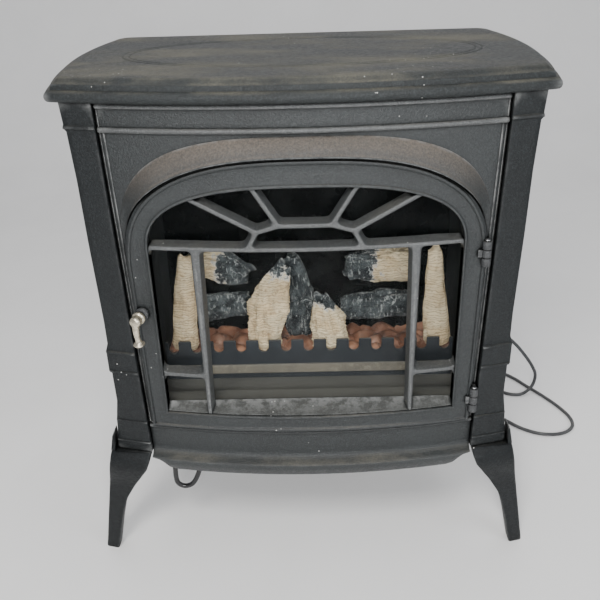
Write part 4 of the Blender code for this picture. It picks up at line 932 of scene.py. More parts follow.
def build_shaft(bm):
    turned(bm, [(-0.0204, 0.0028), (-0.0166, 0.0028), (-0.0165, 0.0038), (0.0128, 0.0038), (0.0132, 0.0084),
                (0.0138, 0.0094), (0.0150, 0.0097), (0.0166, 0.0098), (0.0178, 0.0094), (0.0186, 0.0087),
                (0.0192, 0.0074), (0.0200, 0.0069), (0.0218, 0.0069), (0.0228, 0.0074), (0.0246, 0.0082),
                (0.0266, 0.0085), (0.0284, 0.0084), (0.0300, 0.0079), (0.0314, 0.0069), (0.0325, 0.0054),
                (0.0332, 0.0034), (0.0335, 0.0006)], HANDLE_AT, OUTWARD, 48)


def build_lever(bm):
    path = smooth_path([at_handle(0, 0.0282, 0), at_handle(-0.0005, 0.0280, -0.0080),
                        at_handle(-0.0008, 0.0276, -0.0180), at_handle(-0.0005, 0.0266, -0.0280),
                        at_handle(0, 0.0258, -0.0330), at_handle(0, 0.0255, -0.0355),
                        at_handle(0, 0.0252, -0.0385)], 0.0008)
    sizes = [(0.0, 0.0050), (0.21, 0.0052), (0.45, 0.0047), (0.70, 0.0039), (0.80, 0.0040), (0.86, 0.0046),
             (0.905, 0.0066), (0.93, 0.0080), (0.955, 0.0084), (0.985, 0.0084), (1.0, 0.0078)]
    tube(bm, path, [ramp(i / (len(path) - 1), sizes) for i in range(len(path))], 32)


piece("handle_shaft", build_shaft, BRASS, "handle", ["door_handle"])
piece("handle_lever", build_lever, BRASS, "handle", ())
piece("handle_rose", lambda bm: turned(
    bm, [(0.0037, 0.0100), (0.0050, 0.0101), (0.0056, 0.0098), (0.0060, 0.0090), (0.0066, 0.0086),
         (0.0070, 0.0076), (0.0074, 0.0066), (0.0078, 0.0062), (0.0079, 0.0042)], HANDLE_AT, OUTWARD, 48),
    HINGE_IRON, "door", ["handle_rosette"])
piece("handle_boss", lambda bm: turned(
    bm, [(-0.0015, 0.0094), (0.0024, 0.0094), (0.0031, 0.0089), (0.0033, 0.0080), (0.0033, 0.0042)],
    HANDLE_AT, OUTWARD, 48), DOOR_IRON, "door")

# ---------------------------------------------------------------- firebox lining, fence and strips
FLOOR_Z = 0.290


def board(name, colour, dark, rough=0.75):
    """Dull heat-proof board or paint with soot and dust."""
    n = Nodes(name)
    soot = n.span(n.noise(7, 7, 0.62), 0.35, 0.68)
    tone = n.colours(soot, colour, dark)
    lighter = tuple(min(1, c * 1.6) for c in colour)
    tone = n.colours(n.span(n.noise(160, 4), 0.52, 0.72, 0, 0.4), tone, lighter)
    dust = n.maths("MULTIPLY", n.span(n.normal_z(), 0.5, 1.0), 0.55)
    tone = n.colours(dust, tone, (0.17, 0.165, 0.145))
    return n.finish(tone, n.span(soot, 0, 1, rough - 0.1, rough + 0.1), n.bump(n.noise(500, 4), 0.0002, 0.5))


LINING = board("firebox_lining", (0.022, 0.028, 0.027), (0.010, 0.013, 0.013))
FENCE = board("fence_paint", (0.030, 0.036, 0.042), (0.013, 0.016, 0.019), 0.6)
TRIM = board("trim_paint", (0.235, 0.215, 0.165), (0.130, 0.120, 0.095))
FLOOR_GREY = board("floor_paint", (0.052, 0.060, 0.056), (0.022, 0.026, 0.025))


def build_liner(bm):
    """Back, sides and roof, folded from one sheet."""
    half, y0, y1, z0, z1 = 0.2415, 0.0130, 0.2720, 0.2840, 0.7020
    t = 0.0015
    for side in (-1, 1):
        xs = (side * half, side * (half - t))
        loft(bm, [[(xs[0], depth(y0), z), (xs[1], depth(y0), z), (xs[1], depth(y1 - t), z),
                   (xs[0], depth(y1), z)] for z in steps(z0, z1, 24)])
    loft(bm, [[(x, depth(y1 - t), z0), (x, depth(y1), z0), (x, depth(y1), z1), (x, depth(y1 - t), z1 - t)]
              for x in steps(-half, half, 12)])
    loft(bm, [[(x, depth(y0), z1 - t), (x, depth(y1), z1 - t), (x, depth(y1), z1), (x, depth(y0), z1)]
              for x in steps(-half, half, 12)])


def build_floor(bm):
    section = [(0.0132, FLOOR_Z - 0.0038), (0.2698, FLOOR_Z - 0.0038), (0.2698, FLOOR_Z), (0.0400, FLOOR_Z),
               (0.0391, FLOOR_Z + 0.0008), (0.0390, FLOOR_Z + 0.0120), (0.0382, FLOOR_Z + 0.0129),
               (0.0138, FLOOR_Z + 0.0129), (0.0132, FLOOR_Z + 0.0122)]
    loft(bm, [[(x, depth(y), z) for y, z in section] for x in steps(-0.2388, 0.2388, 20)])


def build_fence(bm):
    """A pressed plate with a comb of rounded notches along its top."""
    pitch, slot, deep = 0.0370, 0.0165, 0.0215
    points = [(-0.2358, FLOOR_Z + 0.0006), (0.2358, FLOOR_Z + 0.0006), (0.2358, 0.3602), (0.2340, 0.3618)]
    for k in range(6, -7, -1):
        x = k * pitch
        r = slot / 2
        points += [(x + r + 0.0015, 0.3618), (x + r, 0.3603)]
        points += [(x + r * math.cos(a), 0.3618 - deep + r * 0.9 - r * 0.9 * math.sin(a))
                   for a in steps(0, math.pi, 10)]
        points += [(x - r, 0.3603), (x - r - 0.0015, 0.3618)]
    points += [(-0.2340, 0.3618), (-0.2358, 0.3602)]
    prism(bm, points, depth(0.0927), depth(0.0963))


def build_trim(bm):
    section = [(0.0920, 0.3022), (0.0892, 0.3022), (0.0886, 0.3028), (0.0886, 0.3172), (0.0892, 0.3179),
               (0.0920, 0.3179)]
    loft(bm, [[(x, depth(y), z) for y, z in section] for x in steps(-0.2358, 0.2358, 20)])


piece("firebox_lining", build_liner, LINING, "stove", ["firebox_liner"])
piece("firebox_base", build_floor, FLOOR_GREY, "stove", ["firebox_floor"])
piece("fence_plate", build_fence, FENCE, "stove", ["ember_fence"], 0.0005)
piece("fence_trim", build_trim, TRIM, "stove", ["ember_trim_strip"])


# ---------------------------------------------------------------- ember bed
def ember_material():
    n = Nodes("ember_resin")
    lump = n.cells(32, feature="SMOOTH_F1")
    tone = n.colours(n.span(lump, 0.12, 0.52), (0.50, 0.265, 0.165), (0.200, 0.090, 0.052))
    tone = n.colours(n.span(n.noise(30, 4), 0.50, 0.68, 0, 0.8), tone, (0.36, 0.21, 0.145))
    char = n.maths("MULTIPLY", n.span(n.noise(22, 5, 0.6), 0.54, 0.60), n.span(lump, 0.1, 0.5, 0.9, 0.5))
    tone = n.colours(char, tone, (0.045, 0.036, 0.034))
    ash = n.maths("MULTIPLY", n.span(n.normal_z(), 0.5, 1.0),
                  n.span(n.noise(120, 6, 0.65), 0.56, 0.70, 0, 0.35))
    tone = n.colours(ash, tone, (0.30, 0.25, 0.21))
    normal = n.bump(n.noise(160, 4), 0.0004, 0.4)
    # painted glow: the resin emits a faint light of its own colour, while the lamps beneath it are unlit
    n.put(n.shader.inputs["Emission Color"], tone)
    return n.finish(tone, n.span(lump, 0.1, 0.6, 0.24, 0.50), normal, Emission_Strength=0.10)


def build_embers(bm):
    across, back = 150, 36
    rows = []
    for j in range(back + 1):
        y = mix(0.0972, 0.1848, j / back)
        row = []
        for i in range(across + 1):
            x = mix(-0.2348, 0.2348, i / across)
            spot = noise.voronoi(Vector((x * 32, y * 32, 1.3)))[0]
            lump = math.sqrt(min(1.0, max(0.0, 1.9 * (spot[1] - spot[0]))))
            z = 0.3290 + 0.0125 * lump + 0.0014 * wobble(x, y, 0, 90)
            row.append((x, depth(y), min(0.3429, z)))
        rows.append(row)
    made = loft(bm, rows, closed=False, caps=False)
    low = FLOOR_Z + 0.0006
    rim = made[0] + [r[-1] for r in made[1:]] + made[-1][-2::-1] + [r[0] for r in made[-2:0:-1]]
    foot = [bm.verts.new((v.co.x, v.co.y, low)) for v in rim]
    for i in range(len(rim)):
        j = (i + 1) % len(rim)
        bm.faces.new((rim[i], rim[j], foot[j], foot[i]))
    bm.faces.new(foot)


piece("ember_bed_lumps", build_embers, ember_material(), "stove", ["ember_bed"])


# ---------------------------------------------------------------- logs
def wood_tone(n, furrow, bark, pale, ring_share):
    """Wavy rings across the log, dry-brushed highlights and furrows; gives the colour and two heights."""
    ridge = n.noise(60, 7, 0.65, stretch=(1.6, 1.6, 0.8))
    waves = n.node("ShaderNodeTexWave", bands_direction="Z")
    for key, value in (("Scale", 66.0), ("Distortion", 11.0), ("Detail", 4.0), ("Detail Scale", 1.4)):
        n.put(waves.inputs[key], value)
    n.put(waves.inputs["Vector"], n.stretched((0.55, 0.55, 1.0)))
    rings = waves.outputs["Fac"]
    tone = n.colours(n.span(ridge, 0.30, 0.52), furrow, bark)
    tone = n.colours(n.span(n.noise(28, 6, 0.6), 0.38, 0.60, 0, 0.85), tone, pale)
    tone = n.colours(n.span(rings, 0.34, 0.0, 0, ring_share), tone, furrow)
    return n.colours(n.span(n.edges(), 0.52, 0.60, 0, 0.9), tone, pale), ridge, rings


def char_tone(n):
    """Blue-black charcoal: feathery white ash strokes along the grain and a few ash-lined cracks."""
    warp = n.node("ShaderNodeVectorMath", operation="ADD")
    n.put(warp.inputs[0], n.where)
    swirl = n.node("ShaderNodeVectorMath", operation="SCALE")
    blur = n.node("ShaderNodeTexNoise")
    n.put(blur.inputs["Scale"], 55.0)
    n.put(blur.inputs["Detail"], 4.0)
    n.put(blur.inputs["Vector"], n.where)
    n.put(swirl.inputs[0], blur.outputs["Color"])
    n.put(swirl.inputs["Scale"], 0.018)
    n.put(warp.inputs[1], swirl.outputs["Vector"])
    cracks = n.node("ShaderNodeTexVoronoi", feature="DISTANCE_TO_EDGE")
    n.put(cracks.inputs["Scale"], 82.0)
    n.put(cracks.inputs["Vector"], warp.outputs["Vector"])
    crack = cracks.outputs["Distance"]
    tone = n.colours(n.span(n.noise(50, 6, 0.65), 0.38, 0.70), (0.012, 0.017, 0.020), (0.110, 0.130, 0.132))
    outline = n.maths("MULTIPLY", n.span(crack, 0.060, 0.015),
                      n.span(n.noise(30, 6, 0.7), 0.52, 0.60, 0.0, 0.8))
    tone = n.colours(outline, tone, (0.52, 0.55, 0.53))
    strokes = n.span(n.noise(105, 5, 0.72, stretch=(2.4, 1.6, 0.55)), 0.565, 0.625, 0, 0.85)
    tone = n.colours(strokes, tone, (0.44, 0.47, 0.45))
    return n.colours(n.span(n.edges(), 0.53, 0.60, 0, 0.85), tone, (0.50, 0.51, 0.48)), crack


def log_material(name, wood=True, char_from=None, axis="Z", sign=1.0):
    """Moulded log: wood, charcoal, or wood charred beyond a ragged line on one axis."""
    n = Nodes(name)
    charred, crack = char_tone(n)
    if not wood:
        normal = n.bump(n.noise(220, 6, 0.7), 0.0010, 0.6, n.bump(n.span(crack, 0.0, 0.2), 0.0022, 0.8))
        return n.finish(charred, 0.80, normal)
    tone, ridge, rings = wood_tone(n, (0.33, 0.230, 0.125), (0.74, 0.585, 0.350), (0.90, 0.78, 0.530), 0.62)
    if char_from is not None:
        along = n.maths("MULTIPLY", n.height()[axis], sign)
        ragged = n.maths("ADD", along, n.maths("MULTIPLY", n.noise(38, 5, 0.7), 0.090))
        burnt = n.span(ragged, char_from + 0.042, char_from + 0.050)
        edge = n.maths("MULTIPLY", burnt, n.maths("SUBTRACT", 1.0, burnt))
        tone = n.colours(burnt, tone, charred)
        tone = n.colours(n.maths("MULTIPLY", edge, 3.2), tone, (0.80, 0.78, 0.72))
    normal = n.bump(n.noise(260, 6, 0.7), 0.0010, 0.7, n.bump(ridge, 0.0018, 0.7, n.bump(rings, 0.0012, 0.7)))
    return n.finish(tone, 0.86, normal)


BARK = log_material("log_bark")
CHAR = log_material("log_char", wood=False)
BURNT_HIGH = log_material("log_bark_charred_top", char_from=0.470)
BURNT_LOW = log_material("log_bark_charred_tip", char_from=0.410)
BURNT_RIGHT = log_material("log_bark_charred_right_end", char_from=-0.150, axis="X")
BURNT_LEFT = log_material("log_bark_charred_left_end", char_from=-0.112, axis="X", sign=-1.0)

# every log: look, seed, path of (x, depth, z), radius at each end and in the middle, ring depth
LOGS = {
    "log_left_upright": (
        BARK, 1.0, [(-0.2065, 0.117, 0.337), (-0.1990, 0.117, 0.430), (-0.1915, 0.117, 0.512)],
        (0.0230, 0.0185, 0.0105), 0.6),
    "log_right_upright": (
        BARK, 2.0, [(0.2142, 0.117, 0.337), (0.2060, 0.117, 0.430), (0.2016, 0.117, 0.512)],
        (0.0225, 0.0185, 0.0095), 0.6),
    "log_centre_left": (
        BURNT_HIGH, 3.0, [(-0.0750, 0.118, 0.337), (-0.0620, 0.118, 0.420), (-0.0370, 0.118, 0.488)],
        (0.0290, 0.0330, 0.0110), 0.8),
    "log_centre_chunk": (
        CHAR, 4.0, [(-0.0150, 0.160, 0.337), (-0.0150, 0.160, 0.430), (-0.0280, 0.160, 0.485)],
        (0.0240, 0.0240, 0.0130), 0.2),
    "log_centre_right": (
        BURNT_LOW, 5.0, [(0.0400, 0.118, 0.337), (0.0300, 0.118, 0.390), (0.0215, 0.118, 0.432)],
        (0.0300, 0.0270, 0.0110), 0.8),
    "log_left_charred": (
        CHAR, 6.0, [(-0.1880, 0.160, 0.386), (-0.1400, 0.160, 0.393), (-0.0960, 0.160, 0.396)],
        (0.0250, 0.0270, 0.0200), 0.3),
    "log_right_charred": (
        CHAR, 7.0, [(0.0560, 0.160, 0.385), (0.1200, 0.160, 0.390), (0.1800, 0.160, 0.392)],
        (0.0200, 0.0255, 0.0230), 0.3),
    "log_left_upper": (
        BURNT_RIGHT, 8.0, [(-0.1760, 0.162, 0.478), (-0.1400, 0.162, 0.464), (-0.0980, 0.162, 0.448)],
        (0.0240, 0.0260, 0.0170), 0.5),
    "log_right_upper": (
        BURNT_LEFT, 9.0, [(0.1850, 0.162, 0.461), (0.1200, 0.162, 0.460), (0.0640, 0.162, 0.462)],
        (0.0310, 0.0300, 0.0230), 0.3),
}
LOG_FLATNESS = 0.62     # a log's depth over its height
SMOOTH_LOGS = 2         # the first two logs have thin, little broken bark
ROUGHER = 2.3           # relief of every other log's bark over theirs
BROKEN = 0.012          # the length of a log's end that is splintered


def build_log(bm, seed, path, radii, ringed):
    """A log with ridged, furrowed and chipped bark, growth bands as deep as ringed says, and a broken end."""
    run = smooth_path([Vector((x, depth(y), z)) for x, y, z in path], 0.0018)
    length = sum((b - a).length for a, b in zip(run, run[1:]))
    is_smooth = seed <= SMOOTH_LOGS
    rough = 1.0 if is_smooth else ROUGHER

    def radius(t, angle):
        base = mix(radii[0], radii[1], t * 2) if t < 0.5 else mix(radii[1], radii[2], t * 2 - 1)
        along = t * length
        ridges = noise.fractal(Vector((math.cos(angle) * 2.2 + seed * 7, math.sin(angle) * 2.2, along * 26)),
                               0.8, 2.1, 4)
        around = Vector((math.cos(angle) * 5 + seed, math.sin(angle) * 5, along * 34 + seed))
        furrow = abs(noise.noise(around))
        bands = math.sin(along * 1150 + 2.5 * noise.noise(Vector((angle, seed, along * 30))))
        chip = noise.noise(Vector((math.cos(angle) * 1.4 - seed, math.sin(angle) * 1.4, along * 15)))
        relief = 0.085 * rough * ridges - 0.14 * rough * (0.3 - min(0.3, furrow))
        relief += ringed * 0.030 * bands + 0.10 * rough * chip
        end = min(1.0, 3.2 * t + 0.80, (1 - t) * 9 + 0.72)
        return base * min(1.20, 1 + relief) * end

    tube(bm, run, radius, 72)
    axis = (run[-1] - run[-2]).normalized()
    for v in bm.verts:
        beyond = (v.co - run[-1]).dot(axis)
        if beyond > -BROKEN:
            share = 1 + beyond / BROKEN
            splinter = noise.noise(v.co * 70 + Vector((seed, 0, 0)))
            v.co += axis * (0.0085 * share * (1 if is_smooth else 2) * splinter - 0.0030 * share)
    middle = depth(path[0][1])
    for v in bm.verts:
        v.co.y = middle + LOG_FLATNESS * (v.co.y - middle)


for name, (look, seed, path, radii, ringed) in LOGS.items():
    piece(name + "_moulding", lambda bm: build_log(bm, seed, path, radii, ringed), look, "stove", [name],
          sharp=60)


# ---------------------------------------------------------------- flame screen and spindle
def screen_material():
    """Half-silvered smoked sheet, with a film of dust."""
    n = Nodes("smoked_screen")
    film = n.noise(22, 7, 0.65)
    tone = n.colours(n.span(film, 0.4, 0.7), (0.0006, 0.0008, 0.0008), (0.0016, 0.002, 0.002))
    rough = n.span(n.noise(60, 4), 0.3, 0.7, 0.14, 0.30)
    return n.finish(tone, rough, n.bump(n.noise(6, 2), 0.0004, 0.2), Specular_IOR_Level=0.04)


def build_screen(bm):
    x0, x1, z0, z1 = -0.2370, 0.2370, FLOOR_Z + 0.0006, 0.6958
    outline = [(x0, z0), (x1, z0), (x1, z1), (x0, z1)]
    prism(bm, outline, depth(0.1961), depth(0.1990))


def build_spindle(bm):
    """A rod with two staggered rows of curled foil flaps."""
    y, z = 0.2360, 0.4000
    turned(bm, [(-0.2148, 0.0030), (-0.2140, 0.0036), (0.1870, 0.0036), (0.1878, 0.0030)],
           (0, depth(y), z), (1, 0, 0), 24)
    for i in range(34):
        x = mix(-0.2080, 0.1700, i / 33)
        for k in range(4):
            angle = math.pi / 2 * k + 0.35 * i
            rows = []
            for t in steps(0, 1, 5):
                r = mix(0.0032, 0.0188, t)
                bend = angle + 0.65 * t * t
                wide = 0.0075 * (1 - 0.25 * t)
                ny, nz = -0.0002 * math.sin(bend), 0.0002 * math.cos(bend)
                corners = ((-wide / 2, 0, 0), (wide / 2, 0, 0), (wide / 2, ny, nz), (-wide / 2, ny, nz))
                rows.append([(x + dx, depth(y) + r * math.cos(bend) + dy, z + r * math.sin(bend) + dz)
                             for dx, dy, dz in corners])
            loft(bm, rows)


def build_motor_case(x, y, z, radius, length, shaft):
    """A small geared motor: a can with a rolled lip, a boss and two ears."""
    def run(bm):
        turned(bm, [(0.0, shaft), (0.0005, radius * 0.40), (0.0030, radius * 0.42), (0.0032, radius * 0.93),
                    (0.0045, radius), (length * 0.48, radius), (length * 0.50, radius * 0.96),
                    (length * 0.52, radius), (length * 0.60, radius), (length * 0.63, radius * 0.68),
                    (length - 0.0015, radius * 0.66), (length, radius * 0.56)],
               (x, depth(y), z), (1, 0, 0), 40)
        for side in (-1, 1):
            turned(bm, [(0.004, 0.0022), (0.0052, 0.0026), (0.0070, 0.0026), (0.0072, 0.0016)],
                   (x - 0.0030, depth(y) + side * radius * 0.72, z), (1, 0, 0), 20)
    return run


SHEET = sheet_metal("black_enamel", (0.020, 0.020, 0.021))
GALVANISED = sheet_metal("zinc_coated_sheet", (0.30, 0.31, 0.32), 0.42, 0.8, 1.2)
BLACK = plastic("black_moulding", (0.012, 0.012, 0.013))
piece("flame_screen_sheet", build_screen, screen_material(), "stove", ["flame_screen"], 0.0004)
piece("flame_spindle_flaps", build_spindle, brushed("spindle_foil", (0.62, 0.63, 0.64)), "spindle",
      ["flame_spindle"], sharp=50)
piece("flame_motor_case", build_motor_case(0.1960, 0.2360, 0.4000, 0.0179, 0.0400, 0.0040), GALVANISED,
      "stove", ["flame_motor"], 0.0003)


# ---------------------------------------------------------------- lamps
def build_lamp_bracket(bm):
    y0, y1, z0 = 0.2050, 0.2420, FLOOR_Z + 0.0006
    section = [(y0, z0), (y1, z0), (y1, z0 + 0.0032), (y0, z0 + 0.0032)]
    loft(bm, [[(x, depth(y), z) for y, z in section] for x in steps(-0.1250, 0.1250, 10)])
    for side in (-1, 1):
        turned(bm, [(-0.0100, 0.0118), (-0.0094, 0.0126), (0.0060, 0.0126), (0.0066, 0.0120),
                    (0.0070, 0.0090), (0.0098, 0.0088)],
               (side * 0.0300, depth(0.2240), FLOOR_Z + 0.0230), (side, 0, 0), 40)
        loft(bm, [[(side * 0.0300 + dx, depth(y), z) for y, z in ((0.2180, z0 + 0.002), (0.2300, z0 + 0.002),
                                                                  (0.2290, z0 + 0.014), (0.2190, z0 + 0.014))]
                  for dx in (-0.0080, 0.0040)])
        turned(bm, [(0.0030, 0.0035), (0.0044, 0.0033), (0.0052, 0.0020)],
               (side * 0.1080, depth(0.2240), z0), (0, 0, 1), 24)


def build_lamp(side):
    def run(bm):
        turned(bm, [(0.0, 0.0066), (0.0010, 0.0070), (0.0180, 0.0070), (0.0195, 0.0074), (0.0230, 0.0098),
                    (0.0270, 0.0126), (0.0320, 0.0149), (0.0380, 0.0163), (0.0440, 0.0166), (0.0500, 0.0158),
                    (0.0560, 0.0138), (0.0610, 0.0110), (0.0650, 0.0078), (0.0680, 0.0048), (0.0698, 0.0020)],
               (side * 0.0404, depth(0.2240), FLOOR_Z + 0.0230), (side, 0, 0), 40)
    return run


def lamp_material():
    n = Nodes("frosted_lamp")
    cloud = n.noise(60, 4)
    tone = n.colours(n.span(cloud, 0.3, 0.7), (0.85, 0.81, 0.70), (0.74, 0.70, 0.60))
    return n.finish(tone, n.span(cloud, 0.3, 0.7, 0.28, 0.42), n.bump(n.noise(800, 2), 0.0001, 0.4))


piece("lamp_holders", build_lamp_bracket, SHEET, "stove", ["lamp_bracket"], 0.0003)
LAMP = lamp_material()
piece("lamp_left_bulb", build_lamp(-1), LAMP, "stove", ["lamp_left"])
piece("lamp_right_bulb", build_lamp(1), LAMP, "stove", ["lamp_right"])


# ---------------------------------------------------------------- fan heater
def build_duct(bm):
    """A folded duct with a stiffening groove at each end."""
    x0, x1, y0, y1, z0, z1 = -0.1000, 0.1400, 0.0560, 0.2600, 0.2020, 0.2700
    wall = 0.0018
    rings = []
    stations = [(y0, 0.0008), (y0 + 0.0008, 0.0), (y0 + 0.0120, 0.0), (y0 + 0.0135, 0.0010),
                (y0 + 0.0165, 0.0010), (y0 + 0.0180, 0.0), (y1 - 0.0180, 0.0), (y1 - 0.0165, 0.0010),
                (y1 - 0.0135, 0.0010), (y1 - 0.0120, 0.0), (y1 - 0.0008, 0.0), (y1, 0.0008)]

    def ring(y, inset):
        return [(x0 + inset, depth(y), z0 + inset), (x1 - inset, depth(y), z0 + inset),
                (x1 - inset, depth(y), z1 - inset), (x0 + inset, depth(y), z1 - inset)]
    rings = [ring(y, inset) for y, inset in stations]
    rings += [ring(y, wall + inset * 0.6) for y, inset in reversed(stations)]
    loft(bm, rings, loop=True)


def build_element(bm):
    points = []
    for k in range(8):
        z = 0.2120 + k * 0.0070
        y = 0.1180 + 0.0025 * (k % 2)
        ends = (-0.0880, 0.1280) if k % 2 == 0 else (0.1280, -0.0880)
        points += [(x, depth(y), z) for x in steps(*ends, 8)]
        if k < 7:
            swell = 0.0018 if k % 2 == 0 else -0.0018
            points.append((ends[1] + swell, depth(0.11925), z + 0.0035))
    tube(bm, smooth_path(points, 0.0035), 0.0021, 14)


def build_blower(bm):
    """A squirrel cage: curved blades between end rings, on a rod."""
    y, z, x0, x1 = 0.1820, 0.2360, -0.0896, 0.0848
    for low, high in ((x0, x0 + 0.003), (x1 - 0.003, x1), (-0.0040, -0.0010)):
        rings = []
        for x, r in ((low, 0.0226), (high, 0.0226), (high, 0.0165), (low, 0.0165)):
            rings.append([(x, depth(y) + r * math.cos(a), z + r * math.sin(a))
                          for a in [2 * math.pi * i / 56 for i in range(56)]])
        loft(bm, rings, loop=True)
    for x in (x0, x1):
        inward = 0.0026 if x == x0 else -0.0026
        turned(bm, [(0, 0.0170), (inward, 0.0170)], (x, depth(y), z), (1, 0, 0), 40)
    turned(bm, [(x0 + 0.001, 0.0028), (x1 - 0.001, 0.0028)], (0, depth(y), z), (1, 0, 0), 20)
    for k in range(28):
        start = 2 * math.pi * k / 28
        inner, outer = [], []
        for t in steps(0, 1, 4):
            r, a = mix(0.0170, 0.0222, t), start + 0.42 * t * t
            inner.append((r * math.cos(a), r * math.sin(a)))
            outer.append(((r + 0.0001) * math.cos(a + 0.032), (r + 0.0001) * math.sin(a + 0.032)))
        section = inner + outer[::-1]
        loft(bm, [[(x, depth(y) + u, z + v) for u, v in section] for x in (x0 + 0.001, x1 - 0.001)])


piece("heater_duct", build_duct, SHEET, "stove", ["heater_housing"], 0.0004)
piece("heater_coil", build_element, brushed("heating_rod", (0.36, 0.31, 0.26), 0.4), "stove",
      ["heating_element"])
piece("blower_cage", build_blower, BLACK, "blower", ["blower_wheel"], sharp=30)
piece("blower_motor_case", build_motor_case(0.0880, 0.1820, 0.2360, 0.0199, 0.0458, 0.0034), GALVANISED,
      "stove", ["blower_motor"], 0.0003)

# ---------------------------------------------------------------- shell
SIDE_FRONT = (0.3000, 0.0210)
SIDE_BACK = (0.2700, 0.3440)
PANEL_BOTTOM = 0.2030


def side_x(y):
    return mix(SIDE_FRONT[0], SIDE_BACK[0], (y - SIDE_FRONT[1]) / (SIDE_BACK[1] - SIDE_FRONT[1]))


def build_side(side):
    def run(bm):
        """A casting with a raised moulded frame round a sunk field."""
        inner, outer = (0.0530, 0.3120, 0.2760, 0.7150), (0.0450, 0.3200, 0.2690, 0.7220)

        def loop(y0, y1, z0, z1, proud):
            points = [(y, z0) for y in steps(y0, y1, 20)[:-1]] + [(y1, z) for z in steps(z0, z1, 28)[:-1]]
            points += [(y, z1) for y in steps(y1, y0, 20)[:-1]] + [(y0, z) for z in steps(z1, z0, 28)[:-1]]
            return [(side * (side_x(y) + proud), depth(y), z) for y, z in points]
        frames = [loop(0.0212, 0.3438, PANEL_BOTTOM + 0.0002, BODY_TOP - 0.0002, -0.0019),
                  loop(0.0212, 0.3438, PANEL_BOTTOM + 0.0002, BODY_TOP - 0.0002, -0.0004),
                  loop(0.0220, 0.3430, PANEL_BOTTOM + 0.0010, BODY_TOP - 0.0010, 0.0)]
        for t, proud in ((0.0, 0.0), (0.12, 0.0014), (0.30, 0.0024), (0.50, 0.0028), (0.70, 0.0024),
                         (0.88, 0.0014), (1.0, 0.0)):
            frames.append(loop(*[mix(a, b, t) for a, b in zip(outer, inner)], proud))
        rows = loft(bm, frames, caps=False)
        bm.faces.new(rows[-1])
        bm.faces.new(rows[0][::-1])
    return run


SIDE_IRON = cast_iron("cast_iron_sides", dust=1.0, wear_and_highlight=0.8)
for side, name in ((-1, "left"), (1, "right")):
    piece(name + "_side_casting", build_side(side), SIDE_IRON, "stove", [name + "_side_panel"])


def slot_outline(x, z, width, height):
    """A slot with round ends."""
    r = height / 2
    quarter = math.pi / 2
    right = [(x + width - r + r * math.cos(a), z + r + r * math.sin(a)) for a in steps(-quarter, quarter, 8)]
    left = [(x + r + r * math.cos(a), z + r + r * math.sin(a)) for a in steps(quarter, 3 * quarter, 8)]
    return right + left


def build_back(bm):
    holes = []
    for x, z, rise, count in ((-0.180, 0.640, 0.018, 6), (-0.110, 0.220, 0.014, 4)):
        holes += [slot_outline(x + c * 0.0520, z + r * rise, 0.040, 0.006)
                  for r in range(3) for c in range(count)]
    holes.append([(0.2500 + 0.0062 * math.cos(a), 0.2350 + 0.0062 * math.sin(a))
                  for a in [2 * math.pi * i / 32 for i in range(32)]])
    half, low, high = 0.2690, PANEL_BOTTOM, BODY_TOP
    outline = [(-half, low), (half, low), (half, high), (-half, high)]
    prism(bm, outline, depth(0.3446), depth(0.3462), holes)


def screw(bm, at, axis, radius=0.0042):
    """A pan-head screw with a round recess in its head."""
    turned(bm, [(-0.0015, radius * 0.9), (0.0002, radius), (0.0009, radius * 0.93), (0.0016, radius * 0.66),
                (0.0019, radius * 0.40), (0.0012, radius * 0.30), (0.0010, 0.0002)], at, axis, 28)


def build_back_screws(bm):
    for x in (-0.2590, 0.2590):
        for z in (0.2120, 0.3500, 0.4900, 0.6300, 0.7640):
            screw(bm, (x, depth(0.3462), z), (0, 1, 0))
    for x in (-0.1300, 0.0, 0.1300):
        screw(bm, (x, depth(0.3462), 0.7640), (0, 1, 0))
        if x <= 0:
            screw(bm, (x, depth(0.3462), 0.2120), (0, 1, 0))


def build_bottom(bm):
    ring = [(-0.2900, 0.0240), (0.2900, 0.0240), (0.2660, 0.3440), (-0.2660, 0.3440)]
    outline = [(x, -depth(y)) for x, y in ring]
    holes = [slot_outline(-0.085 + c * 0.0520, -depth(0.062 + r * 0.016 + 0.009), 0.044, 0.009)
             for r in range(2) for c in range(4)]
    prism(bm, outline, 0.1985, 0.2015, holes)
    for v in bm.verts:
        v.co = Vector((v.co.x, -v.co.z, v.co.y))


piece("back_sheet", build_back, SHEET, "stove", ["back_panel"], 0.0003)
piece("back_sheet_screws", build_back_screws, STEEL, "stove", ())
piece("bottom_sheet", build_bottom, SHEET, "stove", ["bottom_plate"], 0.0003)


# ---------------------------------------------------------------- latch
def build_cam(bm):
    outline = [(0.0050, 0.0), (0.0046, 0.0022), (0.0035, 0.0040), (0.0018, 0.0050), (0.0, 0.0052),
               (-0.0018, 0.0050), (-0.0035, 0.0040), (-0.0046, 0.0022), (-0.0050, 0.0), (-0.0036, -0.0160),
               (-0.0028, -0.0174), (-0.0015, -0.0180), (0.0015, -0.0180), (0.0028, -0.0174),
               (0.0036, -0.0160)]
    loft(bm, [[at_handle(x, out, z) for x, z in outline] for out in (-0.0168, -0.0196)])
    turned(bm, [(-0.0212, 0.0030), (-0.0208, 0.0034), (-0.0196, 0.0036)], HANDLE_AT, OUTWARD, 6)


piece("latch_cam_plate", build_cam, STEEL, "handle", ["latch_cam"], 0.0003)
piece("latch_keeper", lambda bm: loft(bm, [
    [at_handle(x, out, z) for x, out in ((-0.0200, -0.0162), (-0.0080, -0.0162), (-0.0080, -0.0178),
                                         (-0.0184, -0.0178), (-0.0184, -0.0213), (-0.0200, -0.0213))]
    for z in (0.0058, 0.0110)]), STEEL, "stove", ["latch_strike"], 0.0003)

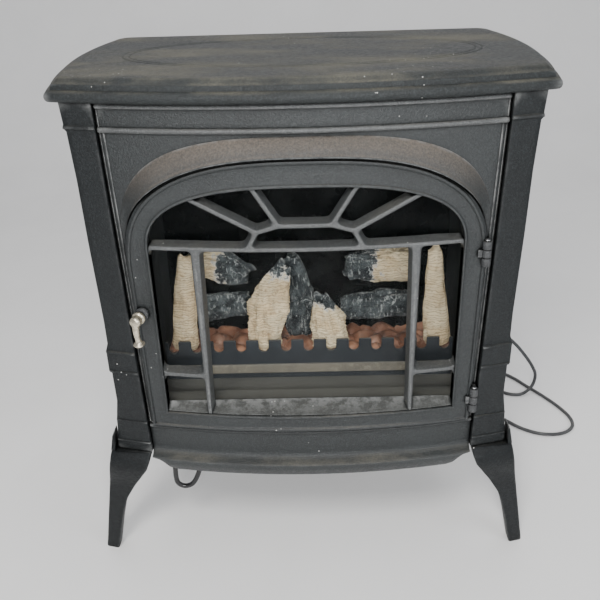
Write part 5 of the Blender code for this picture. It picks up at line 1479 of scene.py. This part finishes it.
# ---------------------------------------------------------------- controls under the stove
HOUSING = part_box("control_housing")
DRAWER = (-0.2445, -0.1255, 0.0750, 0.2260, 0.1502, 0.1680)
SWITCHES = {"power": -0.2150, "heat": -0.1850}
SWITCH_Y = 0.1080
KNOBS = {"thermostat": -0.2120, "flame": -0.1580}
KNOB_Y = 0.1700


def build_housing(bm):
    (x0, y0, z0), (x1, y1, z1) = HOUSING
    t = 0.0016
    section = [(x0, z1), (x1, z1), (x1, z0), (x1 - 0.0080, z0), (x1 - 0.0080, z0 + t), (x1 - t, z0 + t),
               (x1 - t, z1 - t), (x0 + t, z1 - t), (x0 + t, z0 + t), (x0 + 0.0080, z0 + t), (x0 + 0.0080, z0),
               (x0, z0)]
    prism(bm, section, y0, y1)


def build_drawer(bm):
    """A tray whose top is cut round the two rockers."""
    x0, x1, y0, y1, z0, z1 = DRAWER
    outline = [(x0, -depth(y0 + 0.0005)), (x1, -depth(y0 + 0.0005)), (x1, -depth(y1)), (x0, -depth(y1))]
    pockets = [[(x - 0.0069, -depth(SWITCH_Y - 0.0114)), (x + 0.0069, -depth(SWITCH_Y - 0.0114)),
                (x + 0.0069, -depth(SWITCH_Y + 0.0114)), (x - 0.0069, -depth(SWITCH_Y + 0.0114))]
               for x in SWITCHES.values()]
    prism(bm, outline, z1 - 0.0030, z1, pockets)
    for v in bm.verts:
        v.co = Vector((v.co.x, -v.co.z, v.co.y))
    section = [(x0, z0), (x1, z0), (x1, z1 - 0.0031), (x0, z1 - 0.0031)]
    loft(bm, [[(x, depth(y), min(z, 0.1599)) for x, z in section] for y in (y0 + 0.0005, y1)])
    for a, b in ((x0, x0 + 0.002), (x1 - 0.002, x1)):
        section = [(a, 0.1595), (b, 0.1595), (b, z1 - 0.001), (a, z1 - 0.001)]
        loft(bm, [[(x, depth(y), z) for x, z in section] for y in (y0 + 0.0005, y1)])


def build_drawer_front(bm):
    x0, x1, z0, z1 = DRAWER[0] - 0.0030, DRAWER[1] + 0.0030, 0.1485, 0.1880
    r = 0.0040
    corners = ((x1 - r, z1 - r, 0), (x0 + r, z1 - r, 1), (x0 + r, z0 + r, 2), (x1 - r, z0 + r, 3))
    outline = [(x + r * math.cos(a + k * math.pi / 2), z + r * math.sin(a + k * math.pi / 2))
               for x, z, k in corners for a in steps(0, math.pi / 2, 5)]
    prism(bm, outline, depth(0.0720), depth(0.0752))


def build_rocker(x):
    def run(bm):
        rocker = [(-0.0100, 0.1684), (-0.0101, 0.1712), (-0.0094, 0.1719), (-0.0050, 0.1706), (0.0, 0.1702),
                  (0.0050, 0.1717), (0.0094, 0.1737), (0.0100, 0.1732), (0.0100, 0.1684), (0.0040, 0.1642),
                  (-0.0040, 0.1642)]
        loft(bm, [[(x + dx, depth(SWITCH_Y) + y, z) for y, z in rocker] for dx in (-0.0060, 0.0060)])
    return run


def build_knob(x):
    def run(bm):
        rings = []
        for along, radius, flute in ((0.0, 0.0148, 0), (0.0004, 0.0150, 0), (0.0026, 0.0150, 0),
                                     (0.0032, 0.0146, 0), (0.0038, 0.0130, 0), (0.0044, 0.0127, 0.0004),
                                     (0.0125, 0.0118, 0.0004), (0.0140, 0.0113, 0.0002),
                                     (0.0148, 0.0102, 0), (0.0150, 0.0060, 0)):
            ring = []
            for i in range(72):
                a, r = 2 * math.pi * i / 72, radius - flute * (i % 2)
                ring.append((x + r * math.cos(a), depth(KNOB_Y) + r * math.sin(a),
                             DRAWER[5] + 0.0006 + along))
            rings.append(ring)
        loft(bm, rings)
    return run


def build_pointer(x):
    def run(bm):
        z0 = DRAWER[5] + 0.0145
        loft(bm, [[(x - 0.0011, depth(KNOB_Y) - 0.0112, z), (x + 0.0011, depth(KNOB_Y) - 0.0112, z),
                   (x + 0.0011, depth(KNOB_Y) - 0.0025, z), (x - 0.0011, depth(KNOB_Y) - 0.0025, z)]
                  for z in (z0, z0 + 0.0016)])
    return run


def wire_material():
    n = Nodes("gloss_black_wire")
    chips = n.span(n.noise(260, 5, 0.65), 0.66, 0.72)
    tone = n.colours(n.span(n.noise(30, 4), 0.3, 0.7), (0.008, 0.008, 0.009), (0.020, 0.020, 0.021))
    tone = n.colours(chips, tone, (0.25, 0.24, 0.23))
    return n.finish(tone, n.span(n.noise(90, 3), 0.3, 0.7, 0.14, 0.28), n.bump(n.noise(160, 3), 0.0001, 0.5))


WIRE_POINTS = [(-0.2295, 0.0716, 0.1760), (-0.2295, 0.0480, 0.1760), (-0.2297, 0.0340, 0.1700),
               (-0.2300, 0.0300, 0.1580), (-0.2305, 0.0300, 0.1312), (-0.2271, 0.0300, 0.1197),
               (-0.2174, 0.0300, 0.1143), (-0.2062, 0.0300, 0.1175), (-0.1980, 0.0300, 0.1276),
               (-0.1890, 0.0300, 0.1500), (-0.1855, 0.0330, 0.1680), (-0.1850, 0.0480, 0.1760),
               (-0.1850, 0.0716, 0.1760)]
RED = plastic("red_rocker", (0.42, 0.015, 0.010), 0.3)
WHITE = plastic("white_pointer", (0.62, 0.61, 0.58))
piece("control_box", build_housing, SHEET, "stove", ["control_housing"], 0.0004)
piece("drawer_tray", build_drawer, SHEET, "drawer", ["control_drawer"], 0.0003)
piece("drawer_front_plate", build_drawer_front, SHEET, "drawer", (), 0.0006)
WIRE_PATH = smooth_path([(x, depth(y), z) for x, y, z in WIRE_POINTS], 0.002)
piece("wire_loop", lambda bm: tube(bm, WIRE_PATH, 0.0042, 28), wire_material(), "drawer", ["wire_pull"])
for name, x in SWITCHES.items():
    look, slot = (RED, "red_plastic") if name == "power" else (BLACK, "black_plastic")
    piece(name + "_rocker_cap", build_rocker(x), look, name + "_rocker", [name + "_switch"], 0.0006, 3)
for name, x in KNOBS.items():
    body = "thermostat" if name == "thermostat" else "flame_dimmer"
    piece(name + "_dial", build_knob(x), BLACK, body, [name + "_knob"], sharp=50)
    piece(name + "_dial_pointer", build_pointer(x), WHITE, body, (), 0.0002)

# ---------------------------------------------------------------- mains cord
CORD_WIDTH = 0.0070
EXIT = (0.2500, 0.2350)
CORD_POINTS = [(0.2500, 0.3849, 0.2350), (0.2500, 0.4020, 0.2350), (0.2570, 0.4210, 0.2335),
               (0.2710, 0.4350, 0.2300), (0.2900, 0.4430, 0.2240), (0.3200, 0.4480, 0.2130),
               (0.3560, 0.4510, 0.1960), (0.3920, 0.4530, 0.1750), (0.4243, 0.4550, 0.1520),
               (0.4500, 0.4550, 0.1280), (0.4720, 0.4550, 0.1010), (0.4910, 0.4560, 0.0730),
               (0.5025, 0.4583, 0.0470), (0.5000, 0.4575, 0.0220), (0.4870, 0.4512, 0.0082),
               (0.4680, 0.4435, 0.0040), (0.4470, 0.4460, 0.0038), (0.4280, 0.4590, 0.0038),
               (0.4150, 0.4800, 0.0038), (0.4130, 0.5060, 0.0038), (0.4260, 0.5280, 0.0038),
               (0.4510, 0.5300, 0.0038), (0.4720, 0.5090, 0.0038), (0.4898, 0.4800, 0.0038),
               (0.5150, 0.4410, 0.0038), (0.5380, 0.3990, 0.0038), (0.5520, 0.3600, 0.0038),
               (0.5510, 0.3280, 0.0038), (0.5330, 0.3060, 0.0038), (0.5060, 0.2970, 0.0038),
               (0.4731, 0.3010, 0.0038), (0.4420, 0.3190, 0.0038), (0.4150, 0.3480, 0.0038),
               (0.3880, 0.3790, 0.0038), (0.3600, 0.4050, 0.0038)]
COIL_CENTRE = (0.3150, 0.3020)
TURN_WIDE, TURN_NARROW = 0.0436, 0.0364
LAYER_LOW, LAYER_HIGH = 0.0038, 0.0110
PLUG_X = COIL_CENTRE[0] - 0.0295
PLUG_Y = COIL_CENTRE[1] - TURN_WIDE


def eased(x, points):
    for (x0, v0), (x1, v1) in zip(points, points[1:]):
        if x <= x1:
            return mix(v0, v1, smooth((x - x0) / (x1 - x0)))
    return points[-1][1]


def cord_route():
    """Out of the back, down to the floor, round its loop, and into three turns in two layers."""
    route = [Vector((EXIT[0], depth(0.3500), EXIT[1])), Vector((EXIT[0], depth(0.3680), EXIT[1]))]
    route += [Vector((x, depth(y), z)) for x, y, z in CORD_POINTS]
    route.append(Vector((0.3400, depth(0.4140), LAYER_LOW)))
    across = ((0, TURN_WIDE), (0.5, TURN_WIDE), (0.75, TURN_NARROW), (2.0, TURN_NARROW), (2.25, TURN_WIDE),
              (3, TURN_WIDE))
    level = ((0, LAYER_LOW), (1.25, LAYER_LOW), (1.5, LAYER_HIGH), (3, LAYER_HIGH))
    for k in range(3 * 28 + 1):
        turn = k / 28
        angle = -math.pi / 2 - 2 * math.pi * turn
        radius = eased(turn, across)
        route.append(Vector((COIL_CENTRE[0] + radius * math.cos(angle),
                             COIL_CENTRE[1] + radius * math.sin(angle), eased(turn, level))))
    for x in (0.3060, 0.2970, 0.2880, 0.2820):
        route.append(Vector((x, PLUG_Y, LAYER_HIGH + 0.0010 * (0.3060 - x) / 0.0240)))
    return smooth_path(route, 0.0045)


def cord_material():
    n = Nodes("cord_sheath")
    tone = n.colours(n.span(n.noise(45, 5), 0.3, 0.7), (0.030, 0.031, 0.033), (0.058, 0.060, 0.063))
    dust = n.maths("MULTIPLY", n.span(n.normal_z(), 0.4, 1.0), n.span(n.noise(120, 5), 0.4, 0.7, 0.1, 0.5))
    tone = n.colours(dust, tone, (0.16, 0.155, 0.145))
    return n.finish(tone, n.span(n.noise(60, 3), 0.3, 0.7, 0.42, 0.58), n.bump(n.noise(500, 3), 0.0001, 0.5))


ROUTE = cord_route()
line = bpy.data.curves.new("mains_cord", "CURVE")
line.dimensions = "3D"
line.bevel_depth = CORD_WIDTH / 2
line.bevel_resolution = 5
line.use_fill_caps = True
spline = line.splines.new("POLY")
spline.points.add(len(ROUTE) - 1)
for point, place in zip(spline.points, ROUTE):
    point.co = (*place, 1)
cord = bpy.data.objects.new("mains_cord", line)
line.materials.append(cord_material())
bpy.context.scene.collection.objects.link(cord)
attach(cord, "stove")
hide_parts("cord_tube", "cord_coil")


def build_relief(bm):
    """A tapered boot with flexing grooves, behind a flange on the back sheet."""
    profile = [(-0.0040, 0.0056), (-0.0036, 0.0060), (0.0018, 0.0060), (0.0020, 0.0092), (0.0026, 0.0097),
               (0.0048, 0.0096), (0.0058, 0.0088), (0.0064, 0.0074)]
    for k in range(8):
        at = 0.0075 + k * 0.0038
        wide = mix(0.0070, 0.0052, k / 7)
        profile += [(at, wide), (at + 0.0018, wide - 0.0001), (at + 0.0021, wide - 0.0012),
                    (at + 0.0034, wide - 0.0012), (at + 0.0037, wide - 0.0002)]
    profile += [(0.0388, 0.0049), (0.0398, 0.0044), (0.0400, 0.0037)]
    turned(bm, profile, (EXIT[0], depth(0.3444), EXIT[1]), (0, 1, 0), 36)


def build_plug(bm):
    """A moulded plug: waisted grip with ridges, and a flat face for the blades."""
    profile = ((0.0, 0.0046, 0.0046), (0.0008, 0.0056, 0.0055), (0.0050, 0.0062, 0.0060),
               (0.0056, 0.0070, 0.0066), (0.0075, 0.0070, 0.0066), (0.0081, 0.0066, 0.0062),
               (0.0100, 0.0078, 0.0070), (0.0106, 0.0088, 0.0078), (0.0126, 0.0092, 0.0080),
               (0.0132, 0.0088, 0.0078), (0.0160, 0.0106, 0.0092), (0.0190, 0.0120, 0.0103),
               (0.0220, 0.0128, 0.0109), (0.0308, 0.0130, 0.0110), (0.0318, 0.0126, 0.0106),
               (0.0320, 0.0118, 0.0098))
    rings = []
    for along, half, tall in profile:
        ring = []
        for a in [2 * math.pi * i / 40 for i in range(40)]:
            c, s = math.cos(a), math.sin(a)
            ring.append((PLUG_X - along, PLUG_Y + half * math.copysign(abs(c) ** 0.6, c),
                         0.0125 + tall * math.copysign(abs(s) ** 0.6, s)))
        rings.append(ring)
    loft(bm, rings)


def build_blades(bm):
    """Two flat blades with a hole near each tip."""
    for side in (-0.0064, 0.0064):
        x0, x1, z0, z1, r = PLUG_X - 0.0500, PLUG_X - 0.0310, 0.0095, 0.0160, 0.0016
        outline = [(x1, z0), (x1, z1), (x0 + 0.0012, z1), (x0, z1 - 0.0014), (x0, z0 + 0.0014),
                   (x0 + 0.0012, z0)]
        hole = [(x0 + 0.0040 + r * math.cos(a), 0.01275 + r * math.sin(a))
                for a in [2 * math.pi * i / 20 for i in range(20)]]
        prism(bm, outline, PLUG_Y + side - 0.0008, PLUG_Y + side + 0.0008, [hole])


def build_tie(bm):
    """A strap round the coil, on the far side from the plug."""
    low, high = TURN_NARROW - 0.0040, TURN_WIDE + 0.0040
    z0, z1, t = 0.0002, 0.0148, 0.0006
    sections = []
    for r0, r1, a, b in ((low, high, z0, z1), (low + t, high - t, z0 + t * 0.5, z1 - t)):
        c = 0.0030
        sections.append([(r0 + c, a), (r1 - c, a), (r1, a + c), (r1, b - c), (r1 - c, b), (r0 + c, b),
                         (r0, b - c), (r0, a + c)])
    outer, inner = sections
    rings = []
    for angle, section in ((-0.12, outer), (0.12, outer), (0.12, inner), (-0.12, inner)):
        turn = math.pi / 2 + angle
        rings.append([(COIL_CENTRE[0] + r * math.cos(turn), COIL_CENTRE[1] + r * math.sin(turn), z)
                      for r, z in section])
    loft(bm, rings, loop=True)


boot = piece("strain_relief_boot", build_relief, BLACK, "stove", ["strain_relief"], sharp=50)
plug = piece("plug_moulding", build_plug, BLACK, "stove", ["plug"], sharp=50)
blades = piece("plug_blades", build_blades, brushed("plug_blade_metal", (0.62, 0.58, 0.48)), "stove", (),
               0.0002)
tie = piece("cord_tie", build_tie, rope_material(), "stove", (), sharp=50)

# ---------------------------------------------------------------- camera
camera = bpy.data.objects.new("camera", bpy.data.cameras.new("camera"))
camera.data.lens = 45.6
camera.data.sensor_width = 36.0
camera.data.clip_start = 0.02
turn = (Matrix.Rotation(0.0194, 4, "Z") @ Matrix.Rotation(math.pi / 2 - math.radians(27.248), 4, "X")
        @ Matrix.Rotation(-0.0303, 4, "Z"))
camera.matrix_world = Matrix.Translation((0.0089, -1.1408, 0.9885)) @ turn
bpy.context.scene.collection.objects.link(camera)
bpy.context.scene.camera = camera


# ---------------------------------------------------------------- floor and light
def floor_material():
    n = Nodes("pale_floor")
    tone = n.colours(n.span(n.noise(3, 5), 0.3, 0.7), (0.90, 0.89, 0.875), (0.94, 0.93, 0.915))
    return n.finish(tone, n.span(n.noise(8, 3), 0.3, 0.7, 0.6, 0.75), n.bump(n.noise(400, 3), 0.0002, 0.3))


def build_stage(bm):
    """A floor that curves up into a wall behind."""
    radius, back, wide = 1.0, 2.6, 6.0
    section = [(-6.0, 0.0), (back - radius, 0.0)]
    section += [(back - radius + radius * math.sin(a), radius - radius * math.cos(a))
                for a in steps(0, math.pi / 2, 24)[1:]]
    section.append((back, 5.0))
    loft(bm, [[(x, y, z) for y, z in section] for x in (-wide, wide)], closed=False, caps=False)


bm = bmesh.new()
build_stage(bm)
bmesh.ops.recalc_face_normals(bm, faces=bm.faces)
mesh = bpy.data.meshes.new("studio_floor")
bm.to_mesh(mesh)
bm.free()
mesh.materials.append(floor_material())
mesh.shade_smooth()
floor = bpy.data.objects.new("studio_floor", mesh)
bpy.context.scene.collection.objects.link(floor)


def area_light(name, at, target, size, watts, colour=(1, 1, 1)):
    lamp = bpy.data.lights.new(name, "AREA")
    lamp.shape = "RECTANGLE"
    lamp.size, lamp.size_y = size
    lamp.energy = watts
    lamp.color = colour
    obj = bpy.data.objects.new(name, lamp)
    obj.location = at
    obj.rotation_euler = (Vector(target) - Vector(at)).to_track_quat("-Z", "Y").to_euler()
    bpy.context.scene.collection.objects.link(obj)


area_light("key", (-0.45, -1.7, 2.3), (0, 0, 0.5), (0.6, 0.6), 38, (1.0, 0.985, 0.96))
area_light("front", (0.02, -1.42, 0.92), (0, 0, 0.52), (0.34, 0.34), 15.0)
area_light("fill", (2.1, -1.8, 1.5), (0, 0, 0.40), (1.8, 1.8), 24, (0.94, 0.97, 1.0))
area_light("overhead", (0.0, 0.7, 2.7), (0, 0.0, 0.5), (2.0, 1.2), 20)
world = bpy.data.worlds.new("studio")
world.use_nodes = True
world.node_tree.nodes["Background"].inputs["Color"].default_value = (0.90, 0.93, 1.0, 1)
world.node_tree.nodes["Background"].inputs["Strength"].default_value = 0.40
bpy.context.scene.world = world
